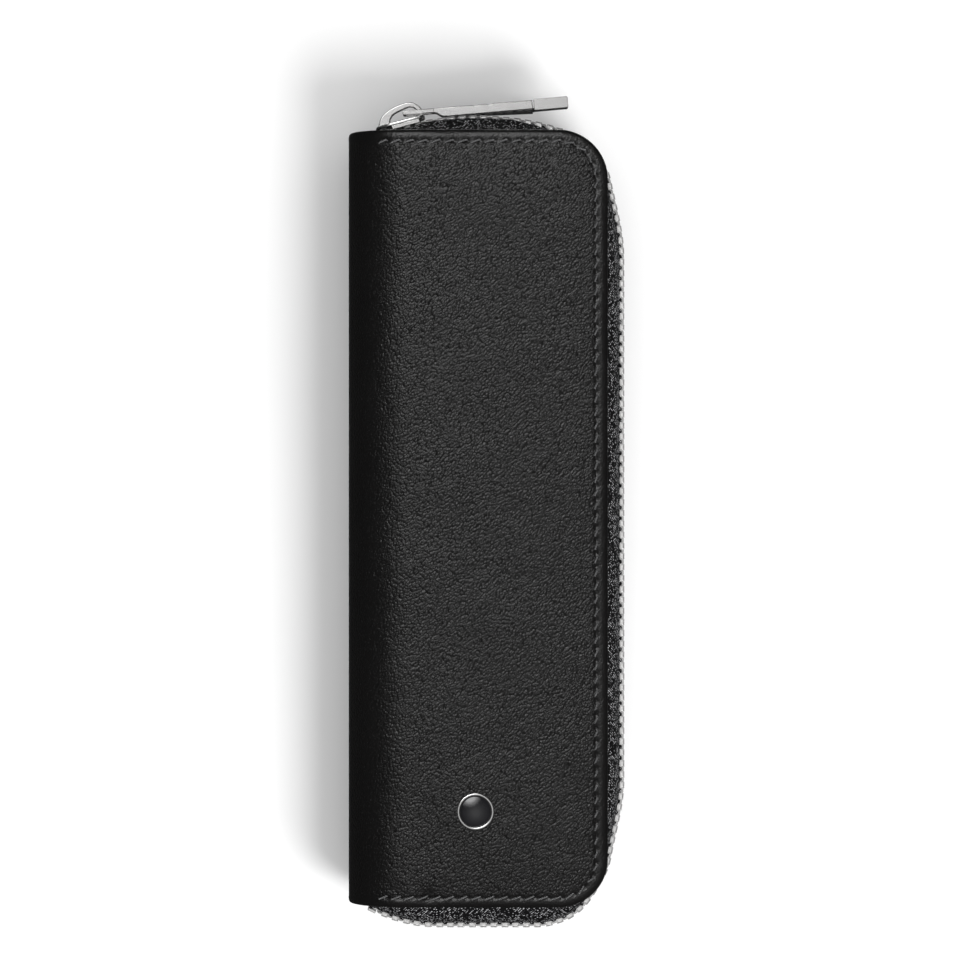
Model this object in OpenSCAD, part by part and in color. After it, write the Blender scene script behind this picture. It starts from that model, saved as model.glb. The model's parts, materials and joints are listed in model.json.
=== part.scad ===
// Zip-around leather case for two fountain pens.
// Millimetres. The case lies on its back cover: +Z goes from the back cover to the front cover,
// +Y runs along the spine towards the end where the closed zip's slider sits, and the spine is at -X.
// The origin is the centre of the back cover's flat rest face.

/* [Case] */
// Width of the case over its leather, spine to opening edge
case_w = 54.8; // [52:0.2:58]
// Length of the case over its leather
case_l = 164.4; // [156:0.2:172]
// Thickness of the closed case over both covers
case_t = 26; // [25.6:0.2:27]
// Radius of the two leather corners away from the spine
corner_r = 10.2; // [8:0.1:12]

/* [Shell layers] */
// Thickness of the outer leather
leather_t = 1.4; // [1.2:0.05:1.6]
// Thickness of the board and padding under the leather
board_t = 0.8; // [0.8:0.05:1]
// Thickness of the lining
lining_t = 0.6; // [0.4:0.05:0.8]
// Width of the leather's border that is sewn to the zip tape
seam_w = 5.2; // [4.8:0.1:6]
// How far the lining stops short of the leather's edge
lining_inset = 1.5; // [1.4:0.1:2]
// Gap between the spine and a cover at each fold line
fold_gap = 0.3; // [0.2:0.05:0.5]

/* [Stitching] */
// Distance from the leather's edge to the stitch line
stitch_inset = 2.1; // [1.8:0.1:2.6]
// Distance from one stitch to the next
stitch_pitch = 2.86; // [2.7:0.02:3.4]
// Length of one stitch
stitch_l = 2.1; // [1.8:0.1:2.4]
// Width of one stitch
stitch_w = 0.5; // [0.4:0.05:0.6]
// Height of one stitch
stitch_h = 0.3; // [0.2:0.05:0.4]

/* [Zip] */
// How far the zip bulges past the leather on the long side
bulge_side = 4.2; // [3.4:0.1:5]
// How far the zip bulges past the leather on the bottom edge
bulge_bottom = 5.1; // [4.2:0.1:5.6]
// How far the zip bulges past the leather at the top-right corner
bulge_corner_top = 0.5; // [0.4:0.1:1]
// How far the zip bulges past the leather at the bottom-right corner
bulge_corner_bottom = 0.95; // [0.6:0.05:1.2]
// Radius of the arc that the zip follows along the top edge
arc_r = 62; // [60:0.5:66]
// How far the top of that arc stands past the leather
arc_rise = 4.1; // [3.8:0.1:4.3]
// Thickness of the zip tape
tape_t = 0.6; // [0.5:0.05:0.7]
// Distance from the zip's middle plane to the edge of each tape
tape_edge = 1.6; // [1.5:0.05:1.8]
// Distance from one tooth to the next on the same tape
tooth_pitch = 2.33; // [2.3:0.01:2.5]
// Thickness of a tooth along the zip
tooth_t = 0.9; // [0.8:0.02:0.94]
// Depth of a tooth, through the tape
tooth_d = 2.4; // [2.3:0.05:2.5]
// Distance from the zip's middle plane to the end of a tooth's legs
tooth_reach = 3; // [2.8:0.05:3.1]
// How far a tooth's head reaches past the zip's middle plane
tooth_head = 1; // [0.8:0.05:1.1]
// Angle that the slider travels along the top arc
travel_deg = 20; // [15:1:20]

/* [Slider] */
// Clearance between the slider and the teeth
slider_clear = 0.3; // [0.3:0.02:0.4]
// Thickness of the slider's plates
plate_t = 0.8; // [0.7:0.05:1]
// Length of the slider body behind its centre, over the closed teeth
slider_back = 5; // [4.8:0.1:5.4]
// Length of the slider body in front of its centre, towards the top stops
slider_nose = 5.8; // [5.6:0.1:6.2]
// Width of the bridge's band
bridge_w = 2.6; // [2.2:0.1:2.8]
// Thickness of the bridge's band
bridge_t = 1.05; // [0.8:0.05:1.1]
// Height of the bridge's top over the teeth
bridge_h = 4.65; // [4.6:0.05:5]

/* [Pull] */
// Thickness of the pull's eye and neck
eye_t = 0.9; // [0.8:0.05:1]
// Clearance between the eye and the bridge
eye_clear = 0.35; // [0.3:0.05:0.5]
// Length of the hole in the eye
eye_l = 5.3; // [5.2:0.1:6]
// Width of each side of the eye
eye_side_w = 0.9; // [0.8:0.05:1.1]
// Thickness of the pull's bar
bar_t = 1.9; // [1.5:0.1:1.9]
// Width of the pull's bar
bar_w = 4.6; // [4.2:0.1:5]
// Overall length of the pull from the middle of its end bar
pull_l = 35; // [33:0.5:37]
// Length of the block at the pull's end
tip_l = 7.3; // [6:0.1:8]
// Thickness of that block
tip_t = 2.4; // [2.1:0.1:2.6]
// Tilt of the pull at rest
pull_tilt = 5; // [4:0.5:6]

/* [Emblem] */
// Radius of the emblem's bezel
emblem_r = 3.9; // [3.4:0.1:4.6]
// Width of the bezel's ring
emblem_rim = 0.6; // [0.5:0.05:0.8]
// Height of the bezel over the leather
emblem_h = 0.9; // [0.7:0.05:1.2]
// Distance of the emblem's centre from the middle of the case, towards the bottom edge
emblem_y = 61.75; // [58:0.25:64]
// Radius of the post that holds the emblem
post_r = 0.9; // [0.7:0.05:1.2]
// Radius of the washer on that post
washer_r = 3; // [2.5:0.1:3.5]

/* [Inside] */
// Largest pen diameter that the loops and the pocket take
pen_d = 15.6; // [13:0.2:16]
// Distance between the axes of the two pens
pen_spacing = 19; // [18.6:0.2:20]
// Wall thickness of the pen loops and of the pen pocket
loop_t = 1; // [0.8:0.1:1.2]
// Length of each pen loop along the pen
loop_l = 22; // [16:1:28]
// Distance from the middle of the case to the middle of the loops
loop_y = 36; // [30:1:44]
// Length of the pen pocket
pocket_l = 52; // [40:1:56]
// Distance from the middle of the case to the closed end of the pen pocket
pocket_y = 74; // [68:1:75]
// Thickness of the slip pocket's panel
slip_t = 0.8; // [0.6:0.1:1]
// Length of the slip pocket
slip_l = 92; // [70:1:110]

/* [Hidden] */
$fn = 96;
eps = 0.01;

// Shell: distances named h are measured from the plane halfway between the covers
half_w = case_w / 2;
half_l = case_l / 2;
half_t = case_t / 2;
spine_x = -half_w + half_t;
board_h = half_t - leather_t;
lining_h = board_h - board_t;
inner_h = lining_h - lining_t;
fold_deg = 45;
fold_gap_deg = asin(fold_gap / 2 / half_t);
groove_w = stitch_w + 0.3;
groove_d = stitch_h + 0.05;
stitch_arc_deg = 28;
stitch_slant = 5;

// Zip path: the base line is the leather's edge from the spine end of the top edge round to the bottom
path_x = -23.4;
top_run = half_w - corner_r - path_x;
corner_run = corner_r * PI / 2;
side_run = case_l - 2 * corner_r;
side_s = top_run + corner_run;
bottom_corner_s = side_s + side_run;
bottom_s = bottom_corner_s + corner_run;
path_s = bottom_s + top_run;
arc_x = 0.3;
arc_y = half_l + arc_rise - arc_r;
arc_end_x = 14;
side_ramp = 16;
bottom_ramp = 4;
bottom_tuck = 4;
bottom_tuck_run = 15;
tape_depth = tooth_d / 2;
tape_bend = 0.8;
tape_flange = 5;
tape_stations = 120;
path_samples = 480;

// Teeth
tooth_slot = tape_t / 2 + 0.2;
slot_h = tape_edge - 0.15;
stop_l = 1.8;
stop_back = 4.1;
bottom_stop_back = 1.6;
first_tooth_ahead = 1.2;
last_tooth_back = 4.2;
travel_end_clear = 1;

// Slider
slider_deg = -15;
plate_out = slider_clear;
plate_in = -tooth_d - slider_clear - 0.2;
channel_h = tooth_reach + slider_clear;
flange_t = 0.9;
slider_h = channel_h + flange_t;
flange_front = -2.6;
slot_half = 0.8;
wedge_h = 1.2;

// Pull
eye_u = 1.05;
eye_under = 0.65;
eye_v = bridge_h - bridge_t - eye_under - eye_t / 2;
notch_d = 0.18;
tip_rise = 0.1;
eye_in_w = bridge_w + 2 * eye_clear;
bar_end = pull_l - tip_l - 0.3;

// Emblem
emblem_x = -0.2;
emblem_floor = 0.3;
dome_r = 12;

// Inside
pen_x = spine_x + (pen_spacing + pen_d) / 2 + loop_t;
base_t = 0.8;
loop_base_z = half_t - inner_h;
slip_w = 34;
slip_gap = 0.5;
slip_edge = 1.5;
slip_low_y = -slip_l / 2 - 14;

function smooth(t) = let (c = min(max(t, 0), 1)) c * c * (3 - 2 * c);
function mix(a, b, t) = a + (b - a) * t;

// Envelope of the zip past the leather along the top edge, as a circle
function top_bulge(x) = arc_y + sqrt(arc_r * arc_r - pow(x - arc_x, 2)) - half_l;

// Envelope of the zip past the leather at the distance s along the base line
function bulge(s) =
    let (
        arc_end_s = arc_end_x - path_x,
        corner_mid = top_run + corner_run / 2,
        low = bottom_corner_s + 0.35 * corner_run,
        tuck = 1 - (path_s - s) / bottom_tuck_run
    )
    s < corner_mid
        ? mix(top_bulge(min(s, top_run) + path_x), bulge_corner_top,
              smooth((s - arc_end_s) / (corner_mid - arc_end_s)))
        : s < side_s + side_run / 2
        ? mix(bulge_corner_top, bulge_side,
              smooth((s - corner_mid) / (side_s + side_ramp - corner_mid)))
        : s < low
        ? mix(bulge_side, bulge_corner_bottom,
              smooth((s - bottom_corner_s + side_ramp) / (low - bottom_corner_s + side_ramp)))
        : mix(bulge_corner_bottom, bulge_bottom, smooth((s - low) / (bottom_s + bottom_ramp - low)))
          - bottom_tuck * pow(max(tuck, 0), 2);

// Direction of the outward normal at the distance s
function normal_deg(s) =
    s < top_run ? 90
    : s < side_s ? 90 * (1 - (s - top_run) / corner_run)
    : s < bottom_corner_s ? 0
    : s < bottom_s ? -90 * (s - bottom_corner_s) / corner_run
    : -90;

// Point of the base line at the distance s
function base_point(s) =
    let (a = normal_deg(s), cx = half_w - corner_r, cy = half_l - corner_r)
    s < top_run ? [path_x + s, half_l]
    : s < side_s ? [cx + corner_r * cos(a), cy + corner_r * sin(a)]
    : s < bottom_corner_s ? [half_w, cy - (s - side_s)]
    : s < bottom_s ? [cx + corner_r * cos(a), -cy + corner_r * sin(a)]
    : [cx - (s - bottom_s), -half_l];

// Point at the offset o outside the base line
function path_point(s, o) = base_point(s) + o * [cos(normal_deg(s)), sin(normal_deg(s))];

// Middle of the tape's edge, which the teeth clamp
function edge_point(s) = path_point(s, bulge(s) - tape_depth);

// Direction of travel along the tape's edge
function edge_deg(s) = let (d = edge_point(s + 0.05) - edge_point(s - 0.05)) atan2(d[1], d[0]);

// Table from the length along the tape's edge to the distance s
edge_samples = [for (i = [0:path_samples]) edge_point(path_s * i / path_samples)];
edge_lengths = [
    for (i = 0, total = 0; i <= path_samples;
         i = i + 1, total = total + (i <= path_samples ? norm(edge_samples[i] - edge_samples[i - 1]) : 0))
        total
];
length_to_s = [for (i = [0:path_samples]) [edge_lengths[i], path_s * i / path_samples]];
s_to_length = [for (i = [0:path_samples]) [path_s * i / path_samples, edge_lengths[i]]];
edge_total = edge_lengths[path_samples];
function s_at(len) = lookup(len, length_to_s);

// Where the slider's centre rests, and the lengths that its travel covers
slider_x = arc_x + arc_r * sin(slider_deg);
slider_len = lookup(slider_x - path_x, s_to_length);
first_tooth = slider_len + first_tooth_ahead;
run_end = slider_len + arc_r * travel_deg * PI / 180 + slider_back + travel_end_clear;
last_tooth = edge_total - last_tooth_back;
run_count = floor((run_end - first_tooth) / tooth_pitch) + 1;
tooth_count = floor((last_tooth - first_tooth) / tooth_pitch) + 1;
stop_len = slider_len - stop_back;

// Distance of the tape's sewn flange from the middle plane: it follows the spine's curve near the spine
function flange_h(s) =
    let (x = base_point(s)[0], r = board_h - board_t / 2)
    x < spine_x ? sqrt(r * r - pow(x - spine_x, 2)) : r;

// Middle line of the tape's section: [offset, distance from the middle plane]
function section_line(s) =
    let (
        o = bulge(s) - tape_depth,
        top = flange_h(s),
        ctrl = mix(tape_edge, top, 0.55),
        curve = [for (t = [0.4, 0.8, 1])
            pow(1 - t, 2) * [-tape_bend, top] + 2 * t * (1 - t) * [o, ctrl] + t * t * [o, tape_edge]]
    )
    concat([[-tape_flange, top], [-tape_bend, top]], curve);

function left_of(v) = [-v[1], v[0]] / norm(v);

// Offset normal at each point of a line
function line_normals(p) = [
    for (i = [0:len(p) - 1])
        let (
            a = left_of(p[min(i + 1, len(p) - 1)] - p[min(i, len(p) - 2)]),
            b = left_of(p[max(i, 1)] - p[max(i - 1, 0)])
        )
        (a + b) / (1 + a * b)
];

// Closed ring of the tape's section
function section_ring(s) =
    let (p = section_line(s), n = line_normals(p), last = len(p) - 1)
    concat([for (i = [0:last]) p[i] + n[i] * tape_t / 2],
           [for (i = [last:-1:0]) p[i] - n[i] * tape_t / 2]);

// ---------- shell ----------

// Outline of one cover in plan, from the spine's centre line to the opening edge
module cover_outline(inset) {
    r = corner_r - inset;
    reach = half_l - corner_r;
    translate([spine_x, -half_l + inset])
        square([half_w - corner_r - spine_x, case_l - 2 * inset]);
    translate([half_w - corner_r, -reach])
        square([r, 2 * reach]);
    for (side = [-1, 1])
        translate([half_w - corner_r, side * reach])
            intersection() {
                circle(r);
                translate([0, side > 0 ? 0 : -r])
                    square([r, r]);
            }
}

// Part of a round band about the spine's centre line, between two angles in the XZ plane
module spine_band(outer, thick, from_deg, to_deg, reach) {
    far = 2 * outer;
    mid = (from_deg + to_deg) / 2;
    translate([spine_x, 0, half_t])
        rotate([90, 0, 0])
            linear_extrude(height = 2 * reach, center = true)
                intersection() {
                    difference() {
                        circle(outer);
                        circle(outer - thick);
                    }
                    polygon([[0, 0],
                             far * [cos(from_deg), sin(from_deg)],
                             far * [cos(mid), sin(mid)],
                             far * [cos(to_deg), sin(to_deg)]]);
                }
}

// One layer of the back cover, whose outer face is at the distance h from the middle plane
module cover_layer(h, thick, inset) {
    translate([0, 0, half_t - h])
        linear_extrude(height = thick)
            cover_outline(inset);
    spine_band(h, thick, 270 - fold_deg + fold_gap_deg, 270, half_l - inset);
}

// Places the front half's copy of a back half's shape
module to_front() {
    translate([0, 0, case_t])
        mirror([0, 0, 1])
            children();
}

module stitch_groove() {
    translate([0, 0, -eps])
        linear_extrude(height = groove_d + eps)
            difference() {
                cover_outline(stitch_inset - groove_w / 2);
                translate([-eps, 0, 0])
                    cover_outline(stitch_inset + groove_w / 2);
            }
    for (side = [-1, 1])
        translate([0, side * (half_l - stitch_inset), 0])
            spine_band(half_t + eps, groove_d + eps, 270 - stitch_arc_deg, 270, groove_w / 2);
}

module cover_leather() {
    difference() {
        cover_layer(half_t, leather_t, 0);
        stitch_groove();
    }
}

module one_stitch() {
    rotate([0, 0, stitch_slant])
        translate([-stitch_l / 2, -stitch_w / 2, 0.1])
            cube([stitch_l, stitch_w, stitch_h - 0.05]);
}

// One row of stitches on the back cover: straight edges, two corners and the start of the spine's curve
module stitch_row() {
    r = corner_r - stitch_inset;
    flat = half_w - corner_r - spine_x;
    arc = half_t * stitch_arc_deg * PI / 180;
    turn = r * PI / 2;
    long = case_l - 2 * corner_r;
    total = 2 * (arc + flat + turn) + long;
    count = floor((total - stitch_l) / stitch_pitch);
    start = (total - count * stitch_pitch) / 2;
    for (i = [0:count]) {
        d = start + i * stitch_pitch;
        back = d > total / 2;
        e = back ? total - d : d;
        mirror([0, back ? 1 : 0, 0])
            if (e < arc)
                translate([spine_x, half_l - stitch_inset, half_t])
                    rotate([0, (arc - e) / half_t * 180 / PI, 0])
                        translate([0, 0, -half_t])
                            one_stitch();
            else if (e < arc + flat)
                translate([spine_x + e - arc, half_l - stitch_inset, 0])
                    one_stitch();
            else if (e < arc + flat + turn)
                translate([half_w - corner_r, half_l - corner_r, 0])
                    rotate([0, 0, -(e - arc - flat) / r * 180 / PI])
                        translate([0, r, 0])
                            one_stitch();
            else
                translate([half_w - stitch_inset, half_l - corner_r - (e - arc - flat - turn), 0])
                    rotate([0, 0, -90])
                        one_stitch();
    }
}

module back_cover_leather() {
    color("#1d1c1c") cover_leather();
}

module front_cover_leather() {
    color("#232222")
        difference() {
            to_front() cover_leather();
            translate([emblem_x, -emblem_y, half_t])
                cylinder(r = post_r + 0.05, h = half_t + 1);
        }
}

module back_board() {
    color("#6b5a48") cover_layer(board_h, board_t, seam_w);
}

module front_board() {
    color("#6b5a48")
        difference() {
            to_front() cover_layer(board_h, board_t, seam_w);
            translate([emblem_x, -emblem_y, half_t])
                cylinder(r = washer_r + 0.1, h = half_t);
        }
}

module back_lining() {
    color("#2a2725") cover_layer(lining_h, lining_t, lining_inset);
}

module front_lining() {
    color("#2a2725") to_front() cover_layer(lining_h, lining_t, lining_inset);
}

module back_stitches() {
    color("#111111") stitch_row();
}

module front_stitches() {
    color("#111111") to_front() stitch_row();
}

module spine_layer(h, thick, inset) {
    spine_band(h, thick, 180 - fold_deg + fold_gap_deg, 180 + fold_deg - fold_gap_deg, half_l - inset);
}

module spine_leather() {
    color("#171616") spine_layer(half_t, leather_t, 0);
}

module spine_board() {
    color("#6b5a48") spine_layer(board_h, board_t, seam_w);
}

module spine_lining() {
    color("#2a2725") spine_layer(lining_h, lining_t, seam_w);
}

// ---------- zip ----------

// Front tape, swept through its sections
module front_tape() {
    rings = [for (i = [0:tape_stations]) let (s = path_s * i / tape_stations) [s, section_ring(s)]];
    n = len(rings[0][1]);
    points = [for (r = rings, p = r[1]) concat(path_point(r[0], p[0]), half_t + p[1])];
    sides = [
        for (i = [0:tape_stations - 1], j = [0:n - 1])
            let (a = i * n + j, b = i * n + (j + 1) % n)
            each [[a, b, b + n], [a, b + n, a + n]]
    ];
    first_cap = [for (j = [n - 1:-1:0]) j];
    last_cap = [for (j = [0:n - 1]) tape_stations * n + j];
    polyhedron(points = points, faces = concat(sides, [first_cap], [last_cap]), convexity = 8);
}

// Tooth about its clamping point: +X along the zip, +Y outward, +Z towards its own tape
module tooth(length, head) {
    d = tooth_d / 2;
    rotate([90, 0, 90])
        linear_extrude(height = length, center = true)
            polygon([
                [-0.6 * d, -head], [0.6 * d, -head], [d, 0.5 - head],
                [d, tooth_reach - 0.4], [0.8 * d, tooth_reach], [tooth_slot, tooth_reach],
                [tooth_slot, slot_h], [-tooth_slot, slot_h],
                [-tooth_slot, tooth_reach], [-0.8 * d, tooth_reach], [-d, tooth_reach - 0.4],
                [-d, 0.5 - head]
            ]);
}

module at_length(len) {
    s = s_at(len);
    translate(concat(edge_point(s), half_t))
        rotate([0, 0, edge_deg(s)])
            children();
}

// Teeth of the front tape from one index to another, shifted along the zip
module tooth_row(first, last, shift) {
    for (i = [first:last])
        at_length(first_tooth + shift + i * tooth_pitch)
            tooth(tooth_t, tooth_head);
}

module top_stop() {
    at_length(stop_len)
        tooth(stop_l, -wedge_h - 0.2);
}

module front_zip_tape() {
    color("#151515") front_tape();
}

module back_zip_tape() {
    color("#151515") to_front() front_tape();
}

module front_teeth_top_run() {
    color("silver") tooth_row(0, run_count - 1, 0);
}

module front_teeth() {
    color("silver") tooth_row(run_count, tooth_count - 1, 0);
}

module back_teeth_top_run() {
    color("silver") to_front() tooth_row(0, run_count - 1, tooth_pitch / 2);
}

module back_teeth() {
    color("silver") to_front() tooth_row(run_count, tooth_count - 1, tooth_pitch / 2);
}

module front_top_stop() {
    color("silver") top_stop();
}

module back_top_stop() {
    color("silver") to_front() top_stop();
}

// Clamp at the zip's lower end: it grips the back tape, and the front tape lies in its open slot
module bottom_stop() {
    d = tooth_d / 2 + 0.1;
    front_slot = tooth_slot + 0.2;
    color("silver")
        at_length(edge_total - bottom_stop_back)
            rotate([90, 0, 90])
                linear_extrude(height = stop_l, center = true)
                    polygon([
                        [-d, -tooth_reach], [-tooth_slot, -tooth_reach], [-tooth_slot, -slot_h],
                        [tooth_slot, -slot_h], [tooth_slot, -tooth_reach], [d, -tooth_reach],
                        [d, tooth_reach], [front_slot, tooth_reach], [front_slot, slot_h],
                        [-front_slot, slot_h], [-front_slot, tooth_reach], [-d, tooth_reach]
                    ]);
}

// ---------- slider and pull ----------

// Slider's frame: +X along the zip, +Y outward from the teeth's outer faces, +Z to the front tape
module slider_frame() {
    translate([arc_x, arc_y, half_t])
        rotate([0, 0, -slider_deg])
            translate([0, arc_r, 0])
                children();
}

// Plate or flange outline in the slider's XZ plane, raised from v0 to v1
module slider_slab(v0, v1, points) {
    translate([0, v1, 0])
        rotate([90, 0, 0])
            linear_extrude(height = v1 - v0)
                polygon(points);
}

plate_points = [
    [-slider_nose, -2.4], [-slider_nose + 0.5, -3], [-4, -slider_h + 0.3], [-2.6, -slider_h],
    [slider_back - 0.8, -slider_h], [slider_back, -slider_h + 0.8],
    [slider_back, slider_h - 0.8], [slider_back - 0.8, slider_h],
    [-2.6, slider_h], [-4, slider_h - 0.3], [-slider_nose + 0.5, 3], [-slider_nose, 2.4]
];

module slider_body() {
    v_slot = -tape_depth;
    flange = [[flange_front, channel_h], [slider_back - 0.8, channel_h],
              [slider_back - 0.8, slider_h], [flange_front, slider_h]];
    color("silver")
        slider_frame() {
            slider_slab(plate_out, plate_out + plate_t, plate_points);
            slider_slab(plate_in - plate_t, plate_in, plate_points);
            slider_slab(plate_in - eps, plate_out + eps,
                        [[-slider_nose + 0.6, -wedge_h], [-4, -wedge_h], [-0.9, -0.3],
                         [-0.9, 0.3], [-4, wedge_h], [-slider_nose + 0.6, wedge_h]]);
            for (side = [0, 1])
                mirror([0, 0, side]) {
                    slider_slab(v_slot + slot_half, plate_out + eps, flange);
                    slider_slab(plate_in - eps, v_slot - slot_half, flange);
                }
        }
}

module slider_bridge() {
    v0 = plate_out + plate_t;
    color("silver")
        slider_frame()
            linear_extrude(height = bridge_w, center = true)
                polygon([
                    [-5.2, v0], [-4.95, 1.6], [-4.5, 2.35], [-3.8, 3.1], [-2.9, bridge_h - 0.95],
                    [-1.9, bridge_h - 0.58], [-0.6, bridge_h - 0.24], [0.8, bridge_h - 0.04],
                    [1.8, bridge_h], [2.7, bridge_h - 0.1], [3.5, bridge_h - 0.48], [4.2, bridge_h - 1.15],
                    [4.65, 2.8], [4.9, 2], [4.95, v0], [3.95, v0], [3.9, 2], [3.6, 2.75],
                    [3.1, bridge_h - bridge_t - 0.25], [2.5, bridge_h - bridge_t],
                    [1.4, bridge_h - bridge_t - 0.08], [0.3, bridge_h - bridge_t - 0.28],
                    [-0.7, bridge_h - bridge_t - 0.5], [-1.6, bridge_h - bridge_t - 0.85],
                    [-2.2, 2.15], [-2.5, 1.5], [-2.45, v0]
                ]);
}

// Pull's frame: origin on the end bar's axis, +X along the pull, +Y away from the zip
module pull_frame() {
    slider_frame()
        translate([eye_u, eye_v, 0])
            rotate([0, 0, slider_deg + pull_tilt])
                children();
}

module pull_bar() {
    top = eye_t / 2;
    neck = eye_l + eye_t / 2;
    color("silver")
        pull_frame() {
            cylinder(d = eye_t, h = eye_in_w + 0.4, center = true);
            for (side = [-1, 1])
                translate([-eye_t / 2, -eye_t / 2, side * (eye_in_w + eye_side_w) / 2 - eye_side_w / 2])
                    cube([neck + 0.8, eye_t, eye_side_w]);
            linear_extrude(height = bar_w, center = true)
                polygon([
                    [neck, -top], [neck + 0.4, -top], [neck + 1.1, -top - 0.12],
                    [neck + 2.2, top - bar_t + 0.12], [neck + 3.1, top - bar_t],
                    [bar_end, top - bar_t], [bar_end, top],
                    [18.8, top], [18.6, top - notch_d], [17.8, top - notch_d], [17.6, top],
                    [15.8, top], [15.6, top - notch_d], [14.8, top - notch_d], [14.6, top], [neck, top]
                ]);
            translate([bar_end - 0.2, top - bar_t / 2, 0])
                rotate([0, 90, 0])
                    cylinder(d = 1, h = 0.5);
        }
}

module pull_tip() {
    top = eye_t / 2 + tip_rise;
    c = 0.3;
    color("silver")
        pull_frame()
            linear_extrude(height = bar_w + 0.4, center = true)
                polygon([
                    [pull_l - tip_l, top - tip_t + c], [pull_l - tip_l + c, top - tip_t],
                    [pull_l - c, top - tip_t], [pull_l, top - tip_t + c],
                    [pull_l, top - c], [pull_l - c, top], [pull_l - tip_l + c, top],
                    [pull_l - tip_l, top - c]
                ]);
}

// ---------- emblem ----------

module emblem_bezel() {
    color("silver")
        translate([emblem_x, -emblem_y, case_t]) {
            difference() {
                cylinder(r = emblem_r, h = emblem_h);
                translate([0, 0, emblem_floor])
                    cylinder(r = emblem_r - emblem_rim, h = emblem_h);
            }
            translate([0, 0, -leather_t - board_t])
                cylinder(r = post_r, h = leather_t + board_t + eps);
        }
}

module emblem_inlay() {
    rise = emblem_h - 0.1;
    color("#0a0a0c")
        translate([emblem_x, -emblem_y, case_t + emblem_floor])
            intersection() {
                cylinder(r = emblem_r - emblem_rim - 0.02, h = rise);
                translate([0, 0, rise - dome_r])
                    sphere(r = dome_r);
            }
}

module emblem_washer() {
    color("silver")
        translate([emblem_x, -emblem_y, case_t - leather_t - board_t])
            difference() {
                cylinder(r = washer_r, h = board_t);
                translate([0, 0, -1])
                    cylinder(r = post_r + 0.02, h = board_t + 2);
            }
}

// ---------- inside ----------

// Arched channel section for one pen, standing on its base
module channel_outline(grow) {
    r = pen_d / 2 + grow;
    translate([-r, grow > 0 ? 0 : base_t])
        square([2 * r, base_t + pen_d / 2 - (grow > 0 ? 0 : base_t)]);
    translate([0, base_t + pen_d / 2])
        circle(r);
}

module channel_body(length) {
    rotate([90, 0, 0])
        linear_extrude(height = length, center = true)
            difference() {
                intersection() {
                    channel_outline(loop_t);
                    translate([-pen_d, 0])
                        square([2 * pen_d, 2 * pen_d]);
                }
                intersection() {
                    channel_outline(0);
                    translate([-pen_d, base_t])
                        square([2 * pen_d, 2 * pen_d]);
                }
            }
}

module pen_loop(side) {
    color("#1d1c1c")
        translate([pen_x + side * pen_spacing / 2, loop_y, loop_base_z])
            channel_body(loop_l);
}

module pen_loop_left() {
    pen_loop(-1);
}

module pen_loop_right() {
    pen_loop(1);
}

module pen_pocket() {
    mid_y = -pocket_y + pocket_l / 2;
    color("#1d1c1c") {
        for (side = [-1, 1])
            translate([pen_x + side * pen_spacing / 2, mid_y, loop_base_z])
                channel_body(pocket_l);
        translate([pen_x - pen_spacing / 2, -pocket_y, loop_base_z])
            cube([pen_spacing, pocket_l, base_t]);
        for (side = [-1, 1])
            translate([pen_x + side * pen_spacing / 2, -pocket_y + loop_t, loop_base_z])
                rotate([90, 0, 0])
                    linear_extrude(height = loop_t)
                        intersection() {
                            channel_outline(loop_t);
                            translate([-pen_d, 0])
                                square([2 * pen_d, 2 * pen_d]);
                        }
    }
}

module front_slip_pocket() {
    top = half_t + inner_h;
    x0 = pen_x - slip_w / 2;
    color("#1d1c1c")
        difference() {
            translate([x0, slip_low_y, top - slip_t - slip_gap])
                cube([slip_w, slip_l, slip_t + slip_gap]);
            translate([x0 + slip_edge, slip_low_y + slip_edge, top - slip_gap])
                cube([slip_w - 2 * slip_edge, slip_l, slip_gap + 1]);
        }
}

back_cover_leather();
back_board();
back_lining();
back_stitches();
back_zip_tape();
back_teeth_top_run();
back_teeth();
back_top_stop();
bottom_stop();
pen_loop_left();
pen_loop_right();
pen_pocket();
spine_leather();
spine_board();
spine_lining();
front_cover_leather();
front_board();
front_lining();
front_stitches();
front_zip_tape();
front_teeth_top_run();
front_teeth();
front_top_stop();
front_slip_pocket();
emblem_bezel();
emblem_inlay();
emblem_washer();
slider_body();
slider_bridge();
pull_bar();
pull_tip();
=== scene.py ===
"""A zip-around leather case for two fountain pens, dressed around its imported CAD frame.

All sizes in the classes are millimetres in the part's own frame; meshes are written in metres.
The case lies on its back cover: +Z runs from the back cover to the front cover, +Y along the spine
towards the end where the closed zip's slider sits, and the spine is at -X.
"""

from __future__ import annotations

import json
import logging
import math
from bisect import bisect_left
from contextlib import contextmanager
from dataclasses import dataclass
from enum import Enum
from typing import Iterable, Iterator, Sequence

import bmesh
import bpy
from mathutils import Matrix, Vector, noise

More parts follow.
